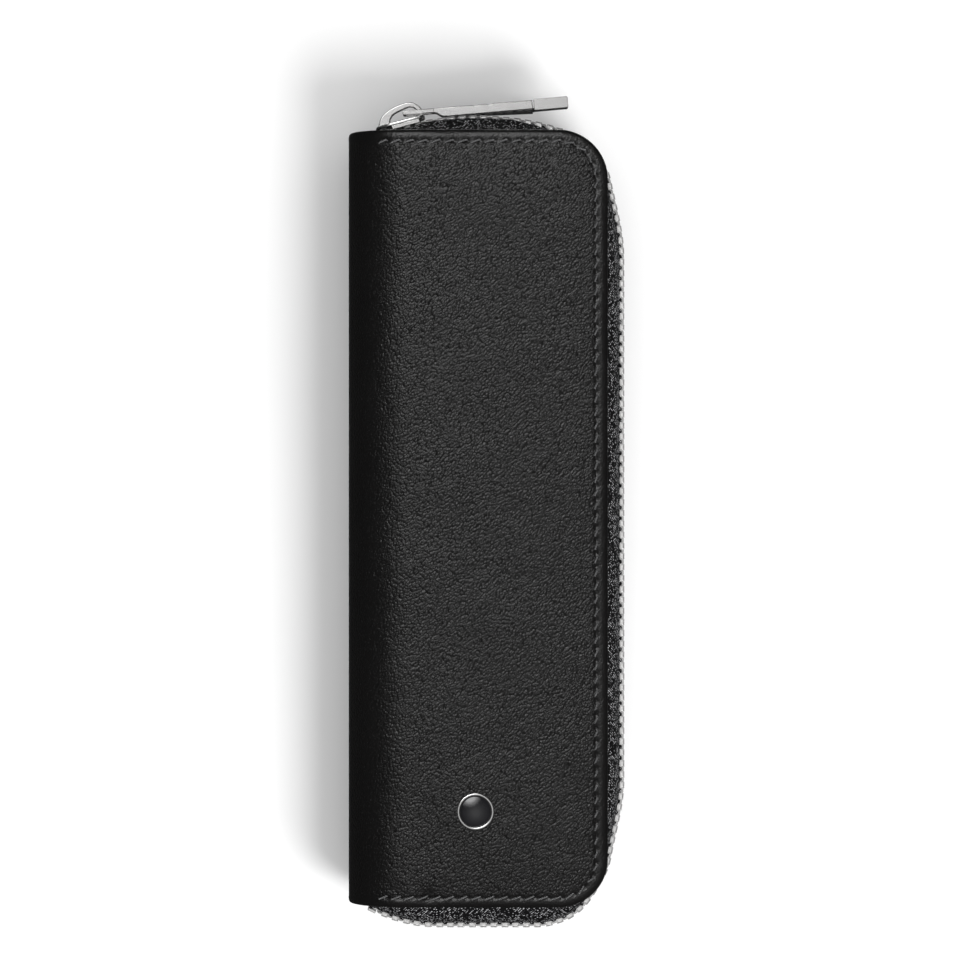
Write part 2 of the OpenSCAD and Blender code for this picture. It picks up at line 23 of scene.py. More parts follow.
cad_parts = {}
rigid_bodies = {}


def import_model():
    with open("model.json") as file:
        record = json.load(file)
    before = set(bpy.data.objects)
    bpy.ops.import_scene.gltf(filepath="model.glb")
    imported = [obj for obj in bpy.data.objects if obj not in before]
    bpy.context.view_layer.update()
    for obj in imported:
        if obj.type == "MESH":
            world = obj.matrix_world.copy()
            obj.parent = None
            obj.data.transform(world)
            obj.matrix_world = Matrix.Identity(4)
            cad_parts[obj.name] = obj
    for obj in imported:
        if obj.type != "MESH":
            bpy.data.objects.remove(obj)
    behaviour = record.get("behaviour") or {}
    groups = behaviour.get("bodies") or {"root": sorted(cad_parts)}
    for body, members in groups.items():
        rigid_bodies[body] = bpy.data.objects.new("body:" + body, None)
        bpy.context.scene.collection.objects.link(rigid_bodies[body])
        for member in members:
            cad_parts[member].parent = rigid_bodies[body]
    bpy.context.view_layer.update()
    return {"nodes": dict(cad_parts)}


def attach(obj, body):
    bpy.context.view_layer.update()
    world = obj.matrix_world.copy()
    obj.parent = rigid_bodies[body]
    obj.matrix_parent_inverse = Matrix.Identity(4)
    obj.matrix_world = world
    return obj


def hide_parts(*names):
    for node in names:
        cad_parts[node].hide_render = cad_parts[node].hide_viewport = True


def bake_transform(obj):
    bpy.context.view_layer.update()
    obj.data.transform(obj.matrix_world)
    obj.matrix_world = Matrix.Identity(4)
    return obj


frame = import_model()

LOG = logging.getLogger("pen_case")
MM = 0.001
PATH_STEP = 0.3
Point = tuple[float, float, float]
Flat = tuple[float, float]
PathPoint = tuple[Point, Point]


# ---------------------------------------------------------------- small maths


def smooth(t: float) -> float:
    """Smoothstep of t held to 0..1."""
    t = min(max(t, 0.0), 1.0)
    return t * t * (3 - 2 * t)


def mix(a: float, b: float, t: float) -> float:
    """Value at the share t of the way from a to b."""
    return a + (b - a) * t


def spread(first: float, last: float, step: float) -> list[float]:
    """Evenly spaced values from first to last, both included, about one step apart."""
    count = max(1, round(abs(last - first) / step))
    return [mix(first, last, i / count) for i in range(count + 1)]


def span_at(lengths: Sequence[float], length: float) -> tuple[int, float]:
    """Span of a measured line that holds a length, and the length's share of that span."""
    k = min(max(bisect_left(lengths, length) - 1, 0), len(lengths) - 2)
    return k, (length - lengths[k]) / (lengths[k + 1] - lengths[k])


def metres(p: Sequence[float]) -> Point:
    """Point in millimetres as one in metres."""
    return tuple(v * MM for v in p)


# ---------------------------------------------------------------- sizes shared by the pieces


class Half(Enum):
    """Half of the case that a piece belongs to; the value is its side of the zip's middle plane."""

    BACK = -1
    FRONT = 1

    @property
    def word(self) -> str:
        """Word that starts the names of this half's pieces."""
        return self.name.lower()

    @property
    def body(self) -> str:
        """Name of the CAD body that carries this half."""
        return self.word + "_half"


@dataclass(eq=False)
class CaseSizes:
    """Main sizes of the shell. "Across" is a distance from the middle of the spine along the leather."""

    half_w: float = 27.4
    half_l: float = 82.2
    half_t: float = 13.0
    corner_r: float = 10.2
    leather_t: float = 1.4
    board_t: float = 0.8
    lining_t: float = 0.6
    seam_w: float = 5.2
    lining_inset: float = 1.5
    stitch_inset: float = 2.1
    stitch_pitch: float = 2.86
    stitch_first: float = 14.3

    def __post_init__(self) -> None:
        """Works out the spine's centre line, the leather's lengths and the cover's stitch line."""
        self.spine_x = self.half_t - self.half_w
        self.arc_run = self.half_t * math.pi / 2
        self.across = self.arc_run + self.half_w - self.spine_x
        self.corner_across = self.across - self.corner_r
        self.corner_y = self.half_l - self.corner_r
        self.seam_reach = self.corner_r - self.stitch_inset
        self.seam_leg = self.corner_across - self.stitch_first
        self.seam_total = 2 * self.seam_leg + math.pi * self.seam_reach + 2 * self.corner_y
        self.seam_count = round(self.seam_total / self.stitch_pitch) + 1
        self.seam_pitch = self.seam_total / (self.seam_count - 1)

    def place(self, across: float, along: float, height: float, half: Half) -> Point:
        """Point of the shell from its flattened coordinates.

        Args:
            across: distance from the middle of the spine, along the leather.
            along: position along the spine.
            height: distance from the zip's middle plane, or from the spine's axis on its curve.
            half: the half that the point belongs to.

        Returns:
            The point in the part's frame.
        """
        turn = math.pi / 2 * (1 - across / self.arc_run)
        if turn <= 0:
            return (self.spine_x + across - self.arc_run, along, self.half_t + half.value * height)
        x = self.spine_x - height * math.sin(turn)
        return (x, along, self.half_t + half.value * height * math.cos(turn))

    def normal(self, across: float, half: Half) -> Point:
        """Outward direction of the shell at a distance from the middle of the spine."""
        turn = max(0.0, math.pi / 2 * (1 - across / self.arc_run))
        return (-math.sin(turn), 0.0, half.value * math.cos(turn))


CASE = CaseSizes()


@dataclass(eq=False)
class ZipPath:
    """Course of the zip round the case, along the leather's edge from the slider's end to the stop."""

    start_x: float = -23.4
    arc_x: float = 0.3
    arc_r: float = 62.0
    arc_rise: float = 4.1
    arc_end_x: float = 14.0
    bulge_side: float = 4.2
    bulge_bottom: float = 5.1
    bulge_corner_top: float = 0.5
    bulge_corner_bottom: float = 0.95
    side_ramp: float = 16.0
    low_share: float = 0.35
    bottom_ramp: float = 4.0
    tuck: float = 4.0
    tuck_run: float = 15.0
    tape_t: float = 0.6
    tape_edge: float = 1.6
    tooth_pitch: float = 2.33
    tooth_d: float = 2.4
    slider_deg: float = -15.0
    travel_deg: float = 20.0
    slider_back: float = 5.0
    first_gap: float = 1.2
    last_gap: float = 4.2
    samples: int = 1200
    nudge: float = 0.05

    def __post_init__(self) -> None:
        """Works out the base line's lengths and ramps, the tape edge's lengths and the teeth's numbers."""
        self.arc_y = CASE.half_l + self.arc_rise - self.arc_r
        self.corner_x = CASE.half_w - CASE.corner_r
        self.top_run = self.corner_x - self.start_x
        self.turn_run = CASE.corner_r * math.pi / 2
        self.side = self.top_run + self.turn_run
        self.low_corner = self.side + 2 * CASE.corner_y
        self.bottom = self.low_corner + self.turn_run
        self.total = 2 * self.side + 2 * CASE.corner_y
        middle = self.top_run + self.turn_run / 2
        low = self.low_corner + self.low_share * self.turn_run
        self.ramps = (
            (self.arc_end_x - self.start_x, middle, self.bulge_corner_top),
            (middle, self.side + self.side_ramp, self.bulge_side),
            (self.low_corner - self.side_ramp, low, self.bulge_corner_bottom),
            (low, self.bottom + self.bottom_ramp, self.bulge_bottom),
        )
        self.lengths: list[float] = []
        length, last = 0.0, self.edge(0.0)
        for i in range(self.samples + 1):
            here = self.edge(self.total * i / self.samples)
            length += math.dist(here, last)
            last = here
            self.lengths.append(length)
        x = self.arc_x + self.arc_r * math.sin(math.radians(self.slider_deg))
        self.slider_length = self.length_at(x - self.start_x)
        self.first_tooth = self.slider_length + self.first_gap
        end = self.slider_length + math.radians(self.travel_deg) * self.arc_r + self.slider_back + 1
        self.run_count = int((end - self.first_tooth) // self.tooth_pitch) + 1
        end = self.lengths[-1] - self.last_gap
        self.tooth_count = int((end - self.first_tooth) // self.tooth_pitch) + 1

    def bulge(self, s: float) -> float:
        """How far the zip's teeth stand past the leather at the base line's distance s.

        Args:
            s: distance along the base line.

        Returns:
            The distance, square to the base line.
        """
        x = min(s, self.top_run) + self.start_x
        bulge = self.arc_y + math.sqrt(self.arc_r**2 - (x - self.arc_x) ** 2) - CASE.half_l
        for start, end, target in self.ramps:
            bulge = mix(bulge, target, smooth((s - start) / (end - start)))
        tuck = max(0.0, 1 - (self.total - s) / self.tuck_run)
        return bulge - self.tuck * tuck**2

    def base(self, s: float) -> tuple[Flat, Flat]:
        """Point of the base line and its outward direction at the distance s.

        Args:
            s: distance along the base line.

        Returns:
            The point and the direction, in plan.
        """
        if s < self.top_run:
            return (self.start_x + s, CASE.half_l), (0.0, 1.0)
        if self.side <= s < self.low_corner:
            return (CASE.half_w, CASE.corner_y - (s - self.side)), (1.0, 0.0)
        if s >= self.bottom:
            return (self.corner_x - (s - self.bottom), -CASE.half_l), (0.0, -1.0)
        a, y = math.pi / 2 * (1 - (s - self.top_run) / self.turn_run), CASE.corner_y
        if s >= self.low_corner:
            a, y = -math.pi / 2 * (s - self.low_corner) / self.turn_run, -CASE.corner_y
        out = (math.cos(a), math.sin(a))
        return (self.corner_x + CASE.corner_r * out[0], y + CASE.corner_r * out[1]), out

    def at(self, s: float, offset: float) -> Flat:
        """Point at an offset outside the base line."""
        p, out = self.base(s)
        return (p[0] + offset * out[0], p[1] + offset * out[1])

    def edge(self, s: float) -> Flat:
        """Middle of the tape's toothed edge."""
        return self.at(s, self.bulge(s) - self.tooth_d / 2)

    def outward(self, s: float) -> Flat:
        """Outward direction square to the tape's toothed edge."""
        a, b = self.edge(s - self.nudge), self.edge(s + self.nudge)
        long = math.dist(a, b)
        return (-(b[1] - a[1]) / long, (b[0] - a[0]) / long)

    def s_at(self, length: float) -> float:
        """Base line's distance at a length along the tape's edge."""
        k, share = span_at(self.lengths, length)
        return self.total * (k + share) / self.samples

    def length_at(self, s: float) -> float:
        """Length along the tape's edge at the base line's distance s."""
        place = s / self.total * self.samples
        low = min(int(place), self.samples - 1)
        return mix(self.lengths[low], self.lengths[low + 1], place - low)

    def shift(self, half: Half) -> float:
        """How far the back row's teeth stand behind the front row's."""
        return 0.0 if half is Half.FRONT else self.tooth_pitch / 2


ZIP = ZipPath()


# ---------------------------------------------------------------- node trees


class Wire:
    """One output socket of a node tree, with arithmetic that adds Math nodes."""

    def __init__(self, bench: "Bench", socket: bpy.types.NodeSocket) -> None:
        """Wraps a socket of the bench's tree."""
        self.bench = bench
        self.socket = socket

    def _maths(self, operation: str, *values: "Wire | float") -> "Wire":
        """Adds one Math node and returns its output."""
        return self.bench.node("ShaderNodeMath", {"operation": operation}, dict(enumerate(values)))

    def __add__(self, other: "Wire | float") -> "Wire":
        """Sum."""
        return self._maths("ADD", self, other)

    def __radd__(self, other: float) -> "Wire":
        """Sum with the number first."""
        return self._maths("ADD", other, self)

    def __sub__(self, other: "Wire | float") -> "Wire":
        """Difference."""
        return self._maths("SUBTRACT", self, other)

    def __rsub__(self, other: float) -> "Wire":
        """Difference with the number first."""
        return self._maths("SUBTRACT", other, self)

    def __mul__(self, other: "Wire | float") -> "Wire":
        """Product."""
        return self._maths("MULTIPLY", self, other)

    def wave(self) -> "Wire":
        """Sine of the value."""
        return self._maths("SINE", self)

    def beside(self, output: str | int) -> "Wire":
        """Another output of the same node."""
        return Wire(self.bench, self.socket.node.outputs[output])


class Bench:
    """Adds nodes to one tree."""

    def __init__(self, tree: bpy.types.NodeTree) -> None:
        """Works on the given tree."""
        self.tree = tree

    def node(self, kind: str, settings: dict | None = None, inputs: dict | None = None,
             output: str | int = 0) -> Wire:
        """Adds a node.

        Args:
            kind: the node's type.
            settings: properties that are set first.
            inputs: values or wires by the socket's name or number.
            output: name or number of the output that is returned.

        Returns:
            The chosen output, or the first input of a node without outputs.
        """
        made = self.tree.nodes.new(kind)
        for name, value in (settings or {}).items():
            setattr(made, name, value)
        for name, value in (inputs or {}).items():
            socket = made.inputs[name]
            if isinstance(value, Wire):
                self.tree.links.new(value.socket, socket)
            else:
                socket.default_value = value
        return Wire(self, made.outputs[output] if made.outputs else made.inputs[0])

    def ramp(self, value: Wire, stops: Sequence[Flat]) -> Wire:
        """Value sent through a colour ramp with grey stops, given as pairs of place and value.

        Args:
            value: the value, from 0 to 1.
            stops: pairs of place and grey, in order.

        Returns:
            The grey at the value.
        """
        made = self.node("ShaderNodeValToRGB", {}, {0: value})
        elements = made.socket.node.color_ramp.elements
        while len(elements) < len(stops):
            elements.new(1.0)
        for element, (place, grey) in zip(elements, stops):
            element.position = place
            element.color = (grey, grey, grey, 1)
        return made

    def blend(self, share: Wire, first: object, second: object) -> Wire:
        """Colour mixed from first to second by the share."""
        return self.node("ShaderNodeMix", {"data_type": "RGBA"}, {0: share, 6: first, 7: second}, 2)


class Shader(Bench):
    """A material's node tree, started empty."""

    def __init__(self, name: str) -> None:
        """Makes a new material with an empty node tree."""
        self.material = bpy.data.materials.new(name)
        self.material.use_nodes = True
        super().__init__(self.material.node_tree)
        self.tree.nodes.clear()

    def mapped(self, where: Wire, scale: Point, turn: float, kind: str = "POINT") -> Wire:
        """Coordinates that are scaled and turned about Z by a Mapping node of the given kind."""
        inputs = {"Vector": where, "Scale": scale, "Rotation": (0, 0, turn)}
        return self.node("ShaderNodeMapping", {"vector_type": kind}, inputs)

    def place(self, scale: Point = (1, 1, 1), turn: float = 0.0) -> Wire:
        """Object coordinates in millimetres, scaled and turned about Z."""
        where = self.node("ShaderNodeTexCoord", output="Object")
        return self.mapped(where, tuple(v / MM for v in scale), turn)

    def noise(self, where: Wire, scale: float, detail: float = 2.0, rough: float = 0.5) -> Wire:
        """Noise value at a place."""
        inputs = {"Vector": where, "Scale": scale, "Detail": detail, "Roughness": rough}
        return self.node("ShaderNodeTexNoise", {}, inputs, "Fac")

    def cells(self, where: Wire, scale: float, feature: str = "F1", **more: float) -> Wire:
        """Voronoi distance at a place."""
        inputs = {"Vector": where, "Scale": scale, **more}
        return self.node("ShaderNodeTexVoronoi", {"feature": feature}, inputs, "Distance")

    def lots(self, where: Wire, scale: float, **more: float) -> Wire:
        """Random value of the Voronoi cell at a place."""
        inputs = {"Vector": where, "Scale": scale, **more}
        return self.split(self.node("ShaderNodeTexVoronoi", {"feature": "F1"}, inputs, "Color"))[0]

    def warped(self, where: Wire, scale: float, amount: float) -> Wire:
        """Place moved by a noise, so that a pattern loses its regularity."""
        cloud = self.node("ShaderNodeTexNoise", {}, {"Vector": where, "Scale": scale}, "Color")
        inputs = {0: cloud, 1: (amount, amount, amount), 2: where}
        return self.node("ShaderNodeVectorMath", {"operation": "MULTIPLY_ADD"}, inputs)

    def split(self, vector: Wire) -> tuple[Wire, Wire, Wire]:
        """The three parts of a vector."""
        parts = self.node("ShaderNodeSeparateXYZ", {}, {0: vector})
        return tuple(parts.beside(i) for i in range(3))

    def bump(self, height: Wire, depth: float) -> Wire:
        """Normal bent by a height of 0 to 1 that stands for a depth in millimetres."""
        return self.node("ShaderNodeBump", {}, {"Height": height, "Distance": depth * MM})

    def finish(self, kind: str, inputs: dict) -> bpy.types.Material:
        """Ends the tree in a surface of the given kind and returns the material."""
        body = self.node(kind, {}, inputs)
        self.node("ShaderNodeOutputMaterial", {}, {"Surface": body})
        return self.material


# ---------------------------------------------------------------- finishes


@dataclass(frozen=True)
class Finish:
    """A Principled finish, whose colour may wander to a second tone."""

    name: str
    colour: Point
    second: Point | None = None

    def tone(self, shade: Shader, share: Wire) -> Wire:
        """Colour at a share of the way to the second tone."""
        return shade.blend(share, (*self.colour, 1), (*self.second, 1))

    def look(self, shade: Shader) -> dict:
        """The surface's inputs, with an underscore for each space in a name."""
        raise NotImplementedError

    def material(self) -> bpy.types.Material:
        """Builds the material."""
        shade = Shader(self.name)
        inputs = {name.replace("_", " "): value for name, value in self.look(shade).items()}
        return shade.finish("ShaderNodeBsdfPrincipled", inputs)


@dataclass(frozen=True)
class CoverLeather(Finish):
    """Black leather with a fine pebbled grain that slants, smoother along the sewn border."""

    name: str = "cover_leather"
    colour: Point = (0.004, 0.0038, 0.0038)
    second: Point = (0.0058, 0.0055, 0.0054)
    slant: float = math.radians(52)
    long: float = 1.3
    narrow: float = 0.86
    pebbles: float = 2.0
    small_pebbles: float = 4.6
    small_share: float = 0.16
    pore_share: float = 0.1
    depth: float = 0.07

    def look(self, shade: Shader) -> dict:
        """Domes of two sizes and fine pores; worn a little lighter in clouds."""
        plain = shade.place()
        slanted = shade.mapped(plain, (self.long, self.narrow, 1.0), self.slant, "TEXTURE")
        flow = shade.warped(slanted, 0.8, 0.6)
        broad = shade.cells(flow, self.pebbles)
        lot = shade.lots(flow, self.pebbles)
        small = shade.cells(flow, self.small_pebbles)
        pores = shade.noise(plain, 3.2, 3, 0.6)
        grain = shade.node("ShaderNodeAttribute", {"attribute_name": "grain"}, output="Fac")
        domes = (1.0 - broad * broad * 2.0) * (lot * 0.7 + 0.6)
        domes = domes + (1.0 - small * small * 2.0) * self.small_share
        cloud = shade.noise(plain, 0.05, 2)
        return {"Base_Color": self.tone(shade, cloud), "Roughness": 0.27 + cloud * 0.06,
                "Specular_IOR_Level": 0.4,
                "Normal": shade.bump(domes * grain + pores * self.pore_share, self.depth)}


@dataclass(frozen=True)
class EdgePaint(Finish):
    """Dark brown-black paint on the leather's cut edge."""

    name: str = "edge_paint"
    colour: Point = (0.016, 0.011, 0.009)

    def look(self, shade: Shader) -> dict:
        """Lumpy paint."""
        rough = 0.35 + shade.noise(shade.place(), 1.4, 3) * 0.25
        lumps = shade.noise(shade.place(), 2.2, 2)
        return {"Base_Color": (*self.colour, 1), "Roughness": rough, "Normal": shade.bump(lumps, 0.05)}


@dataclass(frozen=True)
class InnerLeather(Finish):
    """Smooth thin leather of the loops and pockets."""

    name: str = "inner_leather"
    colour: Point = (0.016, 0.014, 0.013)
    second: Point = (0.028, 0.025, 0.023)

    def look(self, shade: Shader) -> dict:
        """Flat cells with narrow creases between them."""
        where = shade.place()
        cells = shade.ramp(shade.cells(where, 1.9, "DISTANCE_TO_EDGE"), [(0.0, 0.0), (0.25, 1.0)])
        cloud = shade.noise(where, 0.12, 3)
        return {"Base_Color": self.tone(shade, cloud * 0.7 + cells * 0.3),
                "Roughness": 0.5 + cloud * 0.2, "Normal": shade.bump(cells, 0.03)}


@dataclass(frozen=True)
class LiningCloth(Finish):
    """Lining with a fine plain weave, pressed flat on its board."""

    name: str = "lining_cloth"
    colour: Point = (0.018, 0.017, 0.018)
    second: Point = (0.036, 0.034, 0.035)
    count: float = 2.6

    def look(self, shade: Shader) -> dict:
        """Crossing threads with slubs along one way."""
        x, y, _ = shade.split(shade.place())
        turn = math.tau * self.count
        weave = (x * turn).wave() * (y * turn).wave() * 0.5 + 0.5
        slub = shade.noise(shade.place((0.2, 3.0, 1.0)), 1.0, 2)
        return {"Base_Color": self.tone(shade, weave * 0.6 + slub * 0.4),
                "Roughness": 0.72 + slub * 0.2, "Sheen_Weight": 0.15, "Normal": shade.bump(weave, 0.05)}


@dataclass(frozen=True)
class FibreBoard(Finish):
    """Grey-brown fibre board between leather and lining."""

    name: str = "fibre_board"
    colour: Point = (0.13, 0.095, 0.065)
    second: Point = (0.24, 0.19, 0.14)

    def look(self, shade: Shader) -> dict:
        """Fibres along one way."""
        fibres = shade.noise(shade.place((0.4, 2.2, 1.0)), 1.6, 4)
        return {"Base_Color": self.tone(shade, fibres), "Roughness": 0.85 + fibres * 0.1,
                "Normal": shade.bump(fibres, 0.08)}


@dataclass(frozen=True)
class Thread(Finish):
    """Waxed black thread: fine fibres across each ply, and lighter patches that are partly a dull wax bloom
    and partly a painted highlight for the thread's glints.
    """

    name: str = "waxed_thread"
    colour: Point = (0.03, 0.03, 0.03)
    second: Point = (0.2, 0.2, 0.204)

    def look(self, shade: Shader) -> dict:
        """Lighter patches over slanting fibres: a wax bloom and a painted highlight."""
        bloom_and_glint = shade.noise(shade.place(), 2.6, 3)
        fibres = shade.noise(shade.place((2.0, 9.0, 9.0), 0.4), 1.5, 2)
        # The lighter second tone in patches is partly a wax bloom and partly a painted highlight that
        # stands for the thread's glints.
        return {"Base_Color": self.tone(shade, bloom_and_glint * 0.7 + fibres * 0.3),
                "Roughness": 0.16 + bloom_and_glint * 0.16, "Specular_IOR_Level": 1.0, "Coat_Weight": 0.8,
                "Coat_Roughness": 0.18, "Normal": shade.bump(fibres, 0.02)}


@dataclass(frozen=True)
class ZipWeave(Finish):
    """Black twill of the zip tape, on the tape's own UV map in millimetres."""

    name: str = "zip_weave"
    colour: Point = (0.0025, 0.0025, 0.0028)
    second: Point = (0.009, 0.009, 0.0095)
    glint: Point = (0.68, 0.68, 0.7)
    across: float = 0.46
    along: float = 0.5
    slant: float = 0.5
    unruly: float = 0.42

    def look(self, shade: Shader) -> dict:
        """Slanting beads of thread, some of which catch the light."""
        run = shade.node("ShaderNodeUVMap", {"uv_map": "run"})
        size = (1 / self.along, 1 / self.across, 1.0)
        slanted = shade.mapped(shade.warped(run, 0.7, 0.35), size, self.slant)
        near = shade.cells(slanted, 1.0, Randomness=self.unruly)
        lot = shade.lots(slanted, 1.0, Randomness=self.unruly)
        bead = shade.ramp(near, [(0.0, 1.0), (0.18, 0.8), (0.36, 0.0)])
        patchy = shade.noise(shade.place(), 0.35, 2)
        chosen = shade.ramp(lot * 0.75 + patchy * 0.4, [(0.48, 0.0), (0.86, 1.0)])
        fuzz = shade.noise(shade.place(), 3.0, 3, 0.65)
        weave = 1.0 - near
        base = self.tone(shade, weave * 0.4 + fuzz * 0.3)
        return {"Base_Color": shade.blend(bead * chosen, base, (*self.glint, 1)),
                "Roughness": 0.7 + fuzz * 0.25, "Specular_IOR_Level": 0.12,
                "Normal": shade.bump(weave + fuzz * 0.5, 0.14)}


@dataclass(frozen=True)
class PolishedNickel(Finish):
    """Polished metal with a faint tumbled texture and handling smears."""

    colour: Point = (0.68, 0.675, 0.67)
    second: Point = (0.57, 0.565, 0.56)
    roughness: float = 0.13
    metallic: float = 1.0

    def look(self, shade: Shader) -> dict:
        """Smears, pits and fine slanting scratches."""
        where = shade.place()
        smear = shade.noise(where, 0.7, 3)
        pits = shade.noise(where, 6.0, 2)
        scratches = shade.noise(shade.place((0.5, 9.0, 9.0), 0.3), 1.2, 2)
        return {"Base_Color": self.tone(shade, smear * 0.4 + scratches * 0.25),
                "Metallic": self.metallic,
                "Roughness": self.roughness + smear * 0.08 + scratches * 0.06,
                "Normal": shade.bump(pits + scratches * 0.6, 0.003)}


@dataclass(frozen=True)
class EmblemLacquer(Finish):
    """Glossy black lacquer of the emblem's plain inlay."""

    name: str = "emblem_lacquer"
    colour: Point = (0.004, 0.004, 0.005)
    second: Point = (0.0072, 0.0072, 0.009)

    def look(self, shade: Shader) -> dict:
        """Fine dust in the gloss."""
        dust = shade.noise(shade.place(), 2.5, 3)
        return {"Base_Color": self.tone(shade, dust), "Roughness": 0.06 + dust * 0.07,
                "Coat_Weight": 0.3, "Coat_Roughness": 0.03, "Normal": shade.bump(dust, 0.008)}


@dataclass(frozen=True)
class PaleFloor:
    """Plain pale floor: white to the camera, darker in reflections, and it keeps the object's shadow."""

    name: str = "pale_floor"
    seen: float = 1.0
    lit: float = 0.7
    mirrored: float = 0.22

    def material(self) -> bpy.types.Material:
        """Builds the material."""
        shade = Shader(self.name)
        path = shade.node("ShaderNodeLightPath")
        camera, glossy = path.beside("Is Camera Ray"), path.beside("Is Glossy Ray")
        grey = shade.noise(shade.place(), 0.02, 2) * 0.01
        shown = camera * (self.seen - self.lit) + glossy * (self.mirrored - self.lit) + self.lit - grey
        colour = shade.node("ShaderNodeCombineColor", {}, {0: shown, 1: shown, 2: shown})
        return shade.finish("ShaderNodeBsdfDiffuse", {"Color": colour})


class Finishes:
    """The materials that the pieces share."""

    def __init__(self) -> None:
        """Builds every finish once."""
        self.leather = CoverLeather().material()
        self.edge = EdgePaint().material()
        self.inner = InnerLeather().material()
        self.lining = LiningCloth().material()
        self.board = FibreBoard().material()
        self.thread = Thread().material()
        self.tape = ZipWeave().material()
        self.teeth = PolishedNickel("zip_teeth_nickel", (0.85, 0.845, 0.84), (0.62, 0.615, 0.61),
                                    roughness=0.17, metallic=0.55).material()
        self.slider = PolishedNickel("slider_nickel").material()
        self.emblem = PolishedNickel("emblem_nickel", roughness=0.1).material()
        self.lacquer = EmblemLacquer().material()
        self.floor = PaleFloor().material()


# ---------------------------------------------------------------- mesh tools


def add_object(name: str, data: bpy.types.ID) -> bpy.types.Object:
    """Adds an object with the given data to the scene."""
    made = bpy.data.objects.new(name, data)
    bpy.context.scene.collection.objects.link(made)
    return made


@contextmanager
def edited(mesh: bpy.types.Mesh) -> Iterator[bmesh.types.BMesh]:
    """Opens a mesh for editing and writes it back at the end."""
    shell = bmesh.new()
    shell.from_mesh(mesh)
    yield shell
    shell.to_mesh(mesh)
    shell.free()


def hand_over(made: bpy.types.Object, body: str, slot: str, *nodes: str) -> None:
    """Gives a finished piece to the frame.

    Args:
        made: the piece.
        body: the CAD body that it rides on.
        slot: its material slot; not used.
        nodes: the CAD nodes that it stands for.
    """
    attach(made, body)
    if nodes:
        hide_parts(*nodes)
    LOG.info("%s: %d faces", made.name, len(made.data.polygons))


class Body:
    """Collects points in millimetres and faces, and makes one mesh object of them."""

    def __init__(self, name: str) -> None:
        """Starts an empty body."""
        self.name = name
        self.points: list[Point] = []
        self.faces: list[tuple[int, ...]] = []
        self.slots: list[int] = []
        self.runs: list[tuple[Flat, ...]] = []
        self.grain: list[float] = []

    def row(self, points: Iterable[Point], grain: float = 1.0) -> list[int]:
        """Adds points.

        Args:
            points: the points.
            grain: their share of the leather's grain.

        Returns:
            The points' numbers.
        """
        first = len(self.points)
        self.points.extend(points)
        count = len(self.points) - first
        self.grain.extend([grain] * count)
        return list(range(first, first + count))

    def face(self, corners: Sequence[int], slot: int = 0, run: Sequence[Flat] = ()) -> None:
        """Adds a face with its material slot and its UV corners."""
        self.faces.append(tuple(corners))
        self.slots.append(slot)
        self.runs.append(tuple(run))

    def skin(self, rows: Sequence[Sequence[int]], slot: int = 0, closed: bool = False,
             marks: Sequence[Sequence[Flat]] | None = None) -> None:
        """Joins rows of equally many points with quads.

        Args:
            rows: the numbers of the points, row by row.
            slot: the faces' material slot.
            closed: whether each row's last point joins its first.
            marks: the points' UV places, row by row.
        """
        for i, (a, b) in enumerate(zip(rows, rows[1:])):
            n = len(a)
            for j in range(n if closed else n - 1):
                k = (j + 1) % n
                run = ()
                if marks:
                    run = (marks[i][j], marks[i][k], marks[i + 1][k], marks[i + 1][j])
                self.face((a[j], a[k], b[k], b[j]), slot, run)

    def make(self, materials: Sequence[bpy.types.Material], merge: float = 0.0) -> bpy.types.Object:
        """Makes the mesh object, shaded smooth.

        Args:
            materials: the material of each slot.
            merge: distance in millimetres under which points are merged.

        Returns:
            The object, at the origin.
        """
        mesh = bpy.data.meshes.new(self.name)
        mesh.from_pydata([metres(p) for p in self.points], [], self.faces)
        mesh.polygons.foreach_set("material_index", self.slots)
        if any(self.runs):
            flat = [v for run in self.runs for uv in run for v in uv]
            mesh.uv_layers.new(name="run").data.foreach_set("uv", flat)
        if min(self.grain) < 1.0:
            mesh.attributes.new("grain", "FLOAT", "POINT").data.foreach_set("value", self.grain)
        for material in materials:
            mesh.materials.append(material)
        with edited(mesh) as shell:
            if merge:
                bmesh.ops.remove_doubles(shell, verts=shell.verts, dist=merge * MM)
            bmesh.ops.recalc_face_normals(shell, faces=shell.faces)
            for f in shell.faces:
                f.smooth = True
        return add_object(self.name, mesh)


@dataclass(frozen=True)
class Place:
    """A local frame in the part: origin and axes."""

    origin: Point = (0.0, 0.0, 0.0)
    x: Point = (1.0, 0.0, 0.0)
    y: Point = (0.0, 1.0, 0.0)
    z: Point = (0.0, 0.0, 1.0)

    def out(self, p: Point) -> Point:
        """Point of the local frame in the part's frame."""
        return tuple(o + p[0] * x + p[1] * y + p[2] * z
                     for o, x, y, z in zip(self.origin, self.x, self.y, self.z))


def round_edges(made: bpy.types.Object, edge: float, sharp: float, segments: int) -> bpy.types.Object:
    """Rounds a mesh's sharp edges in place.

    Args:
        made: the object.
        edge: the rounding's width.
        sharp: the angle in degrees past which an edge is rounded.
        segments: the rounding's steps.

    Returns:
        The same object.
    """
    with edited(made.data) as shell:
        limit = math.radians(sharp)
        picked = [e for e in shell.edges if len(e.link_faces) == 2 and e.calc_face_angle(0) > limit]
        result = bmesh.ops.bevel(shell, geom=picked, offset=edge * MM, offset_type="OFFSET",
                                 segments=segments, profile=0.5, affect="EDGES", clamp_overlap=True)
        rounding = set(result["faces"])
        for f in shell.faces:
            beside = {g for e in f.edges for g in e.link_faces if g is not f}
            f.smooth = f in rounding or not beside <= rounding
        bmesh.ops.remove_doubles(shell, verts=shell.verts, dist=0.0005 * MM)
    return made


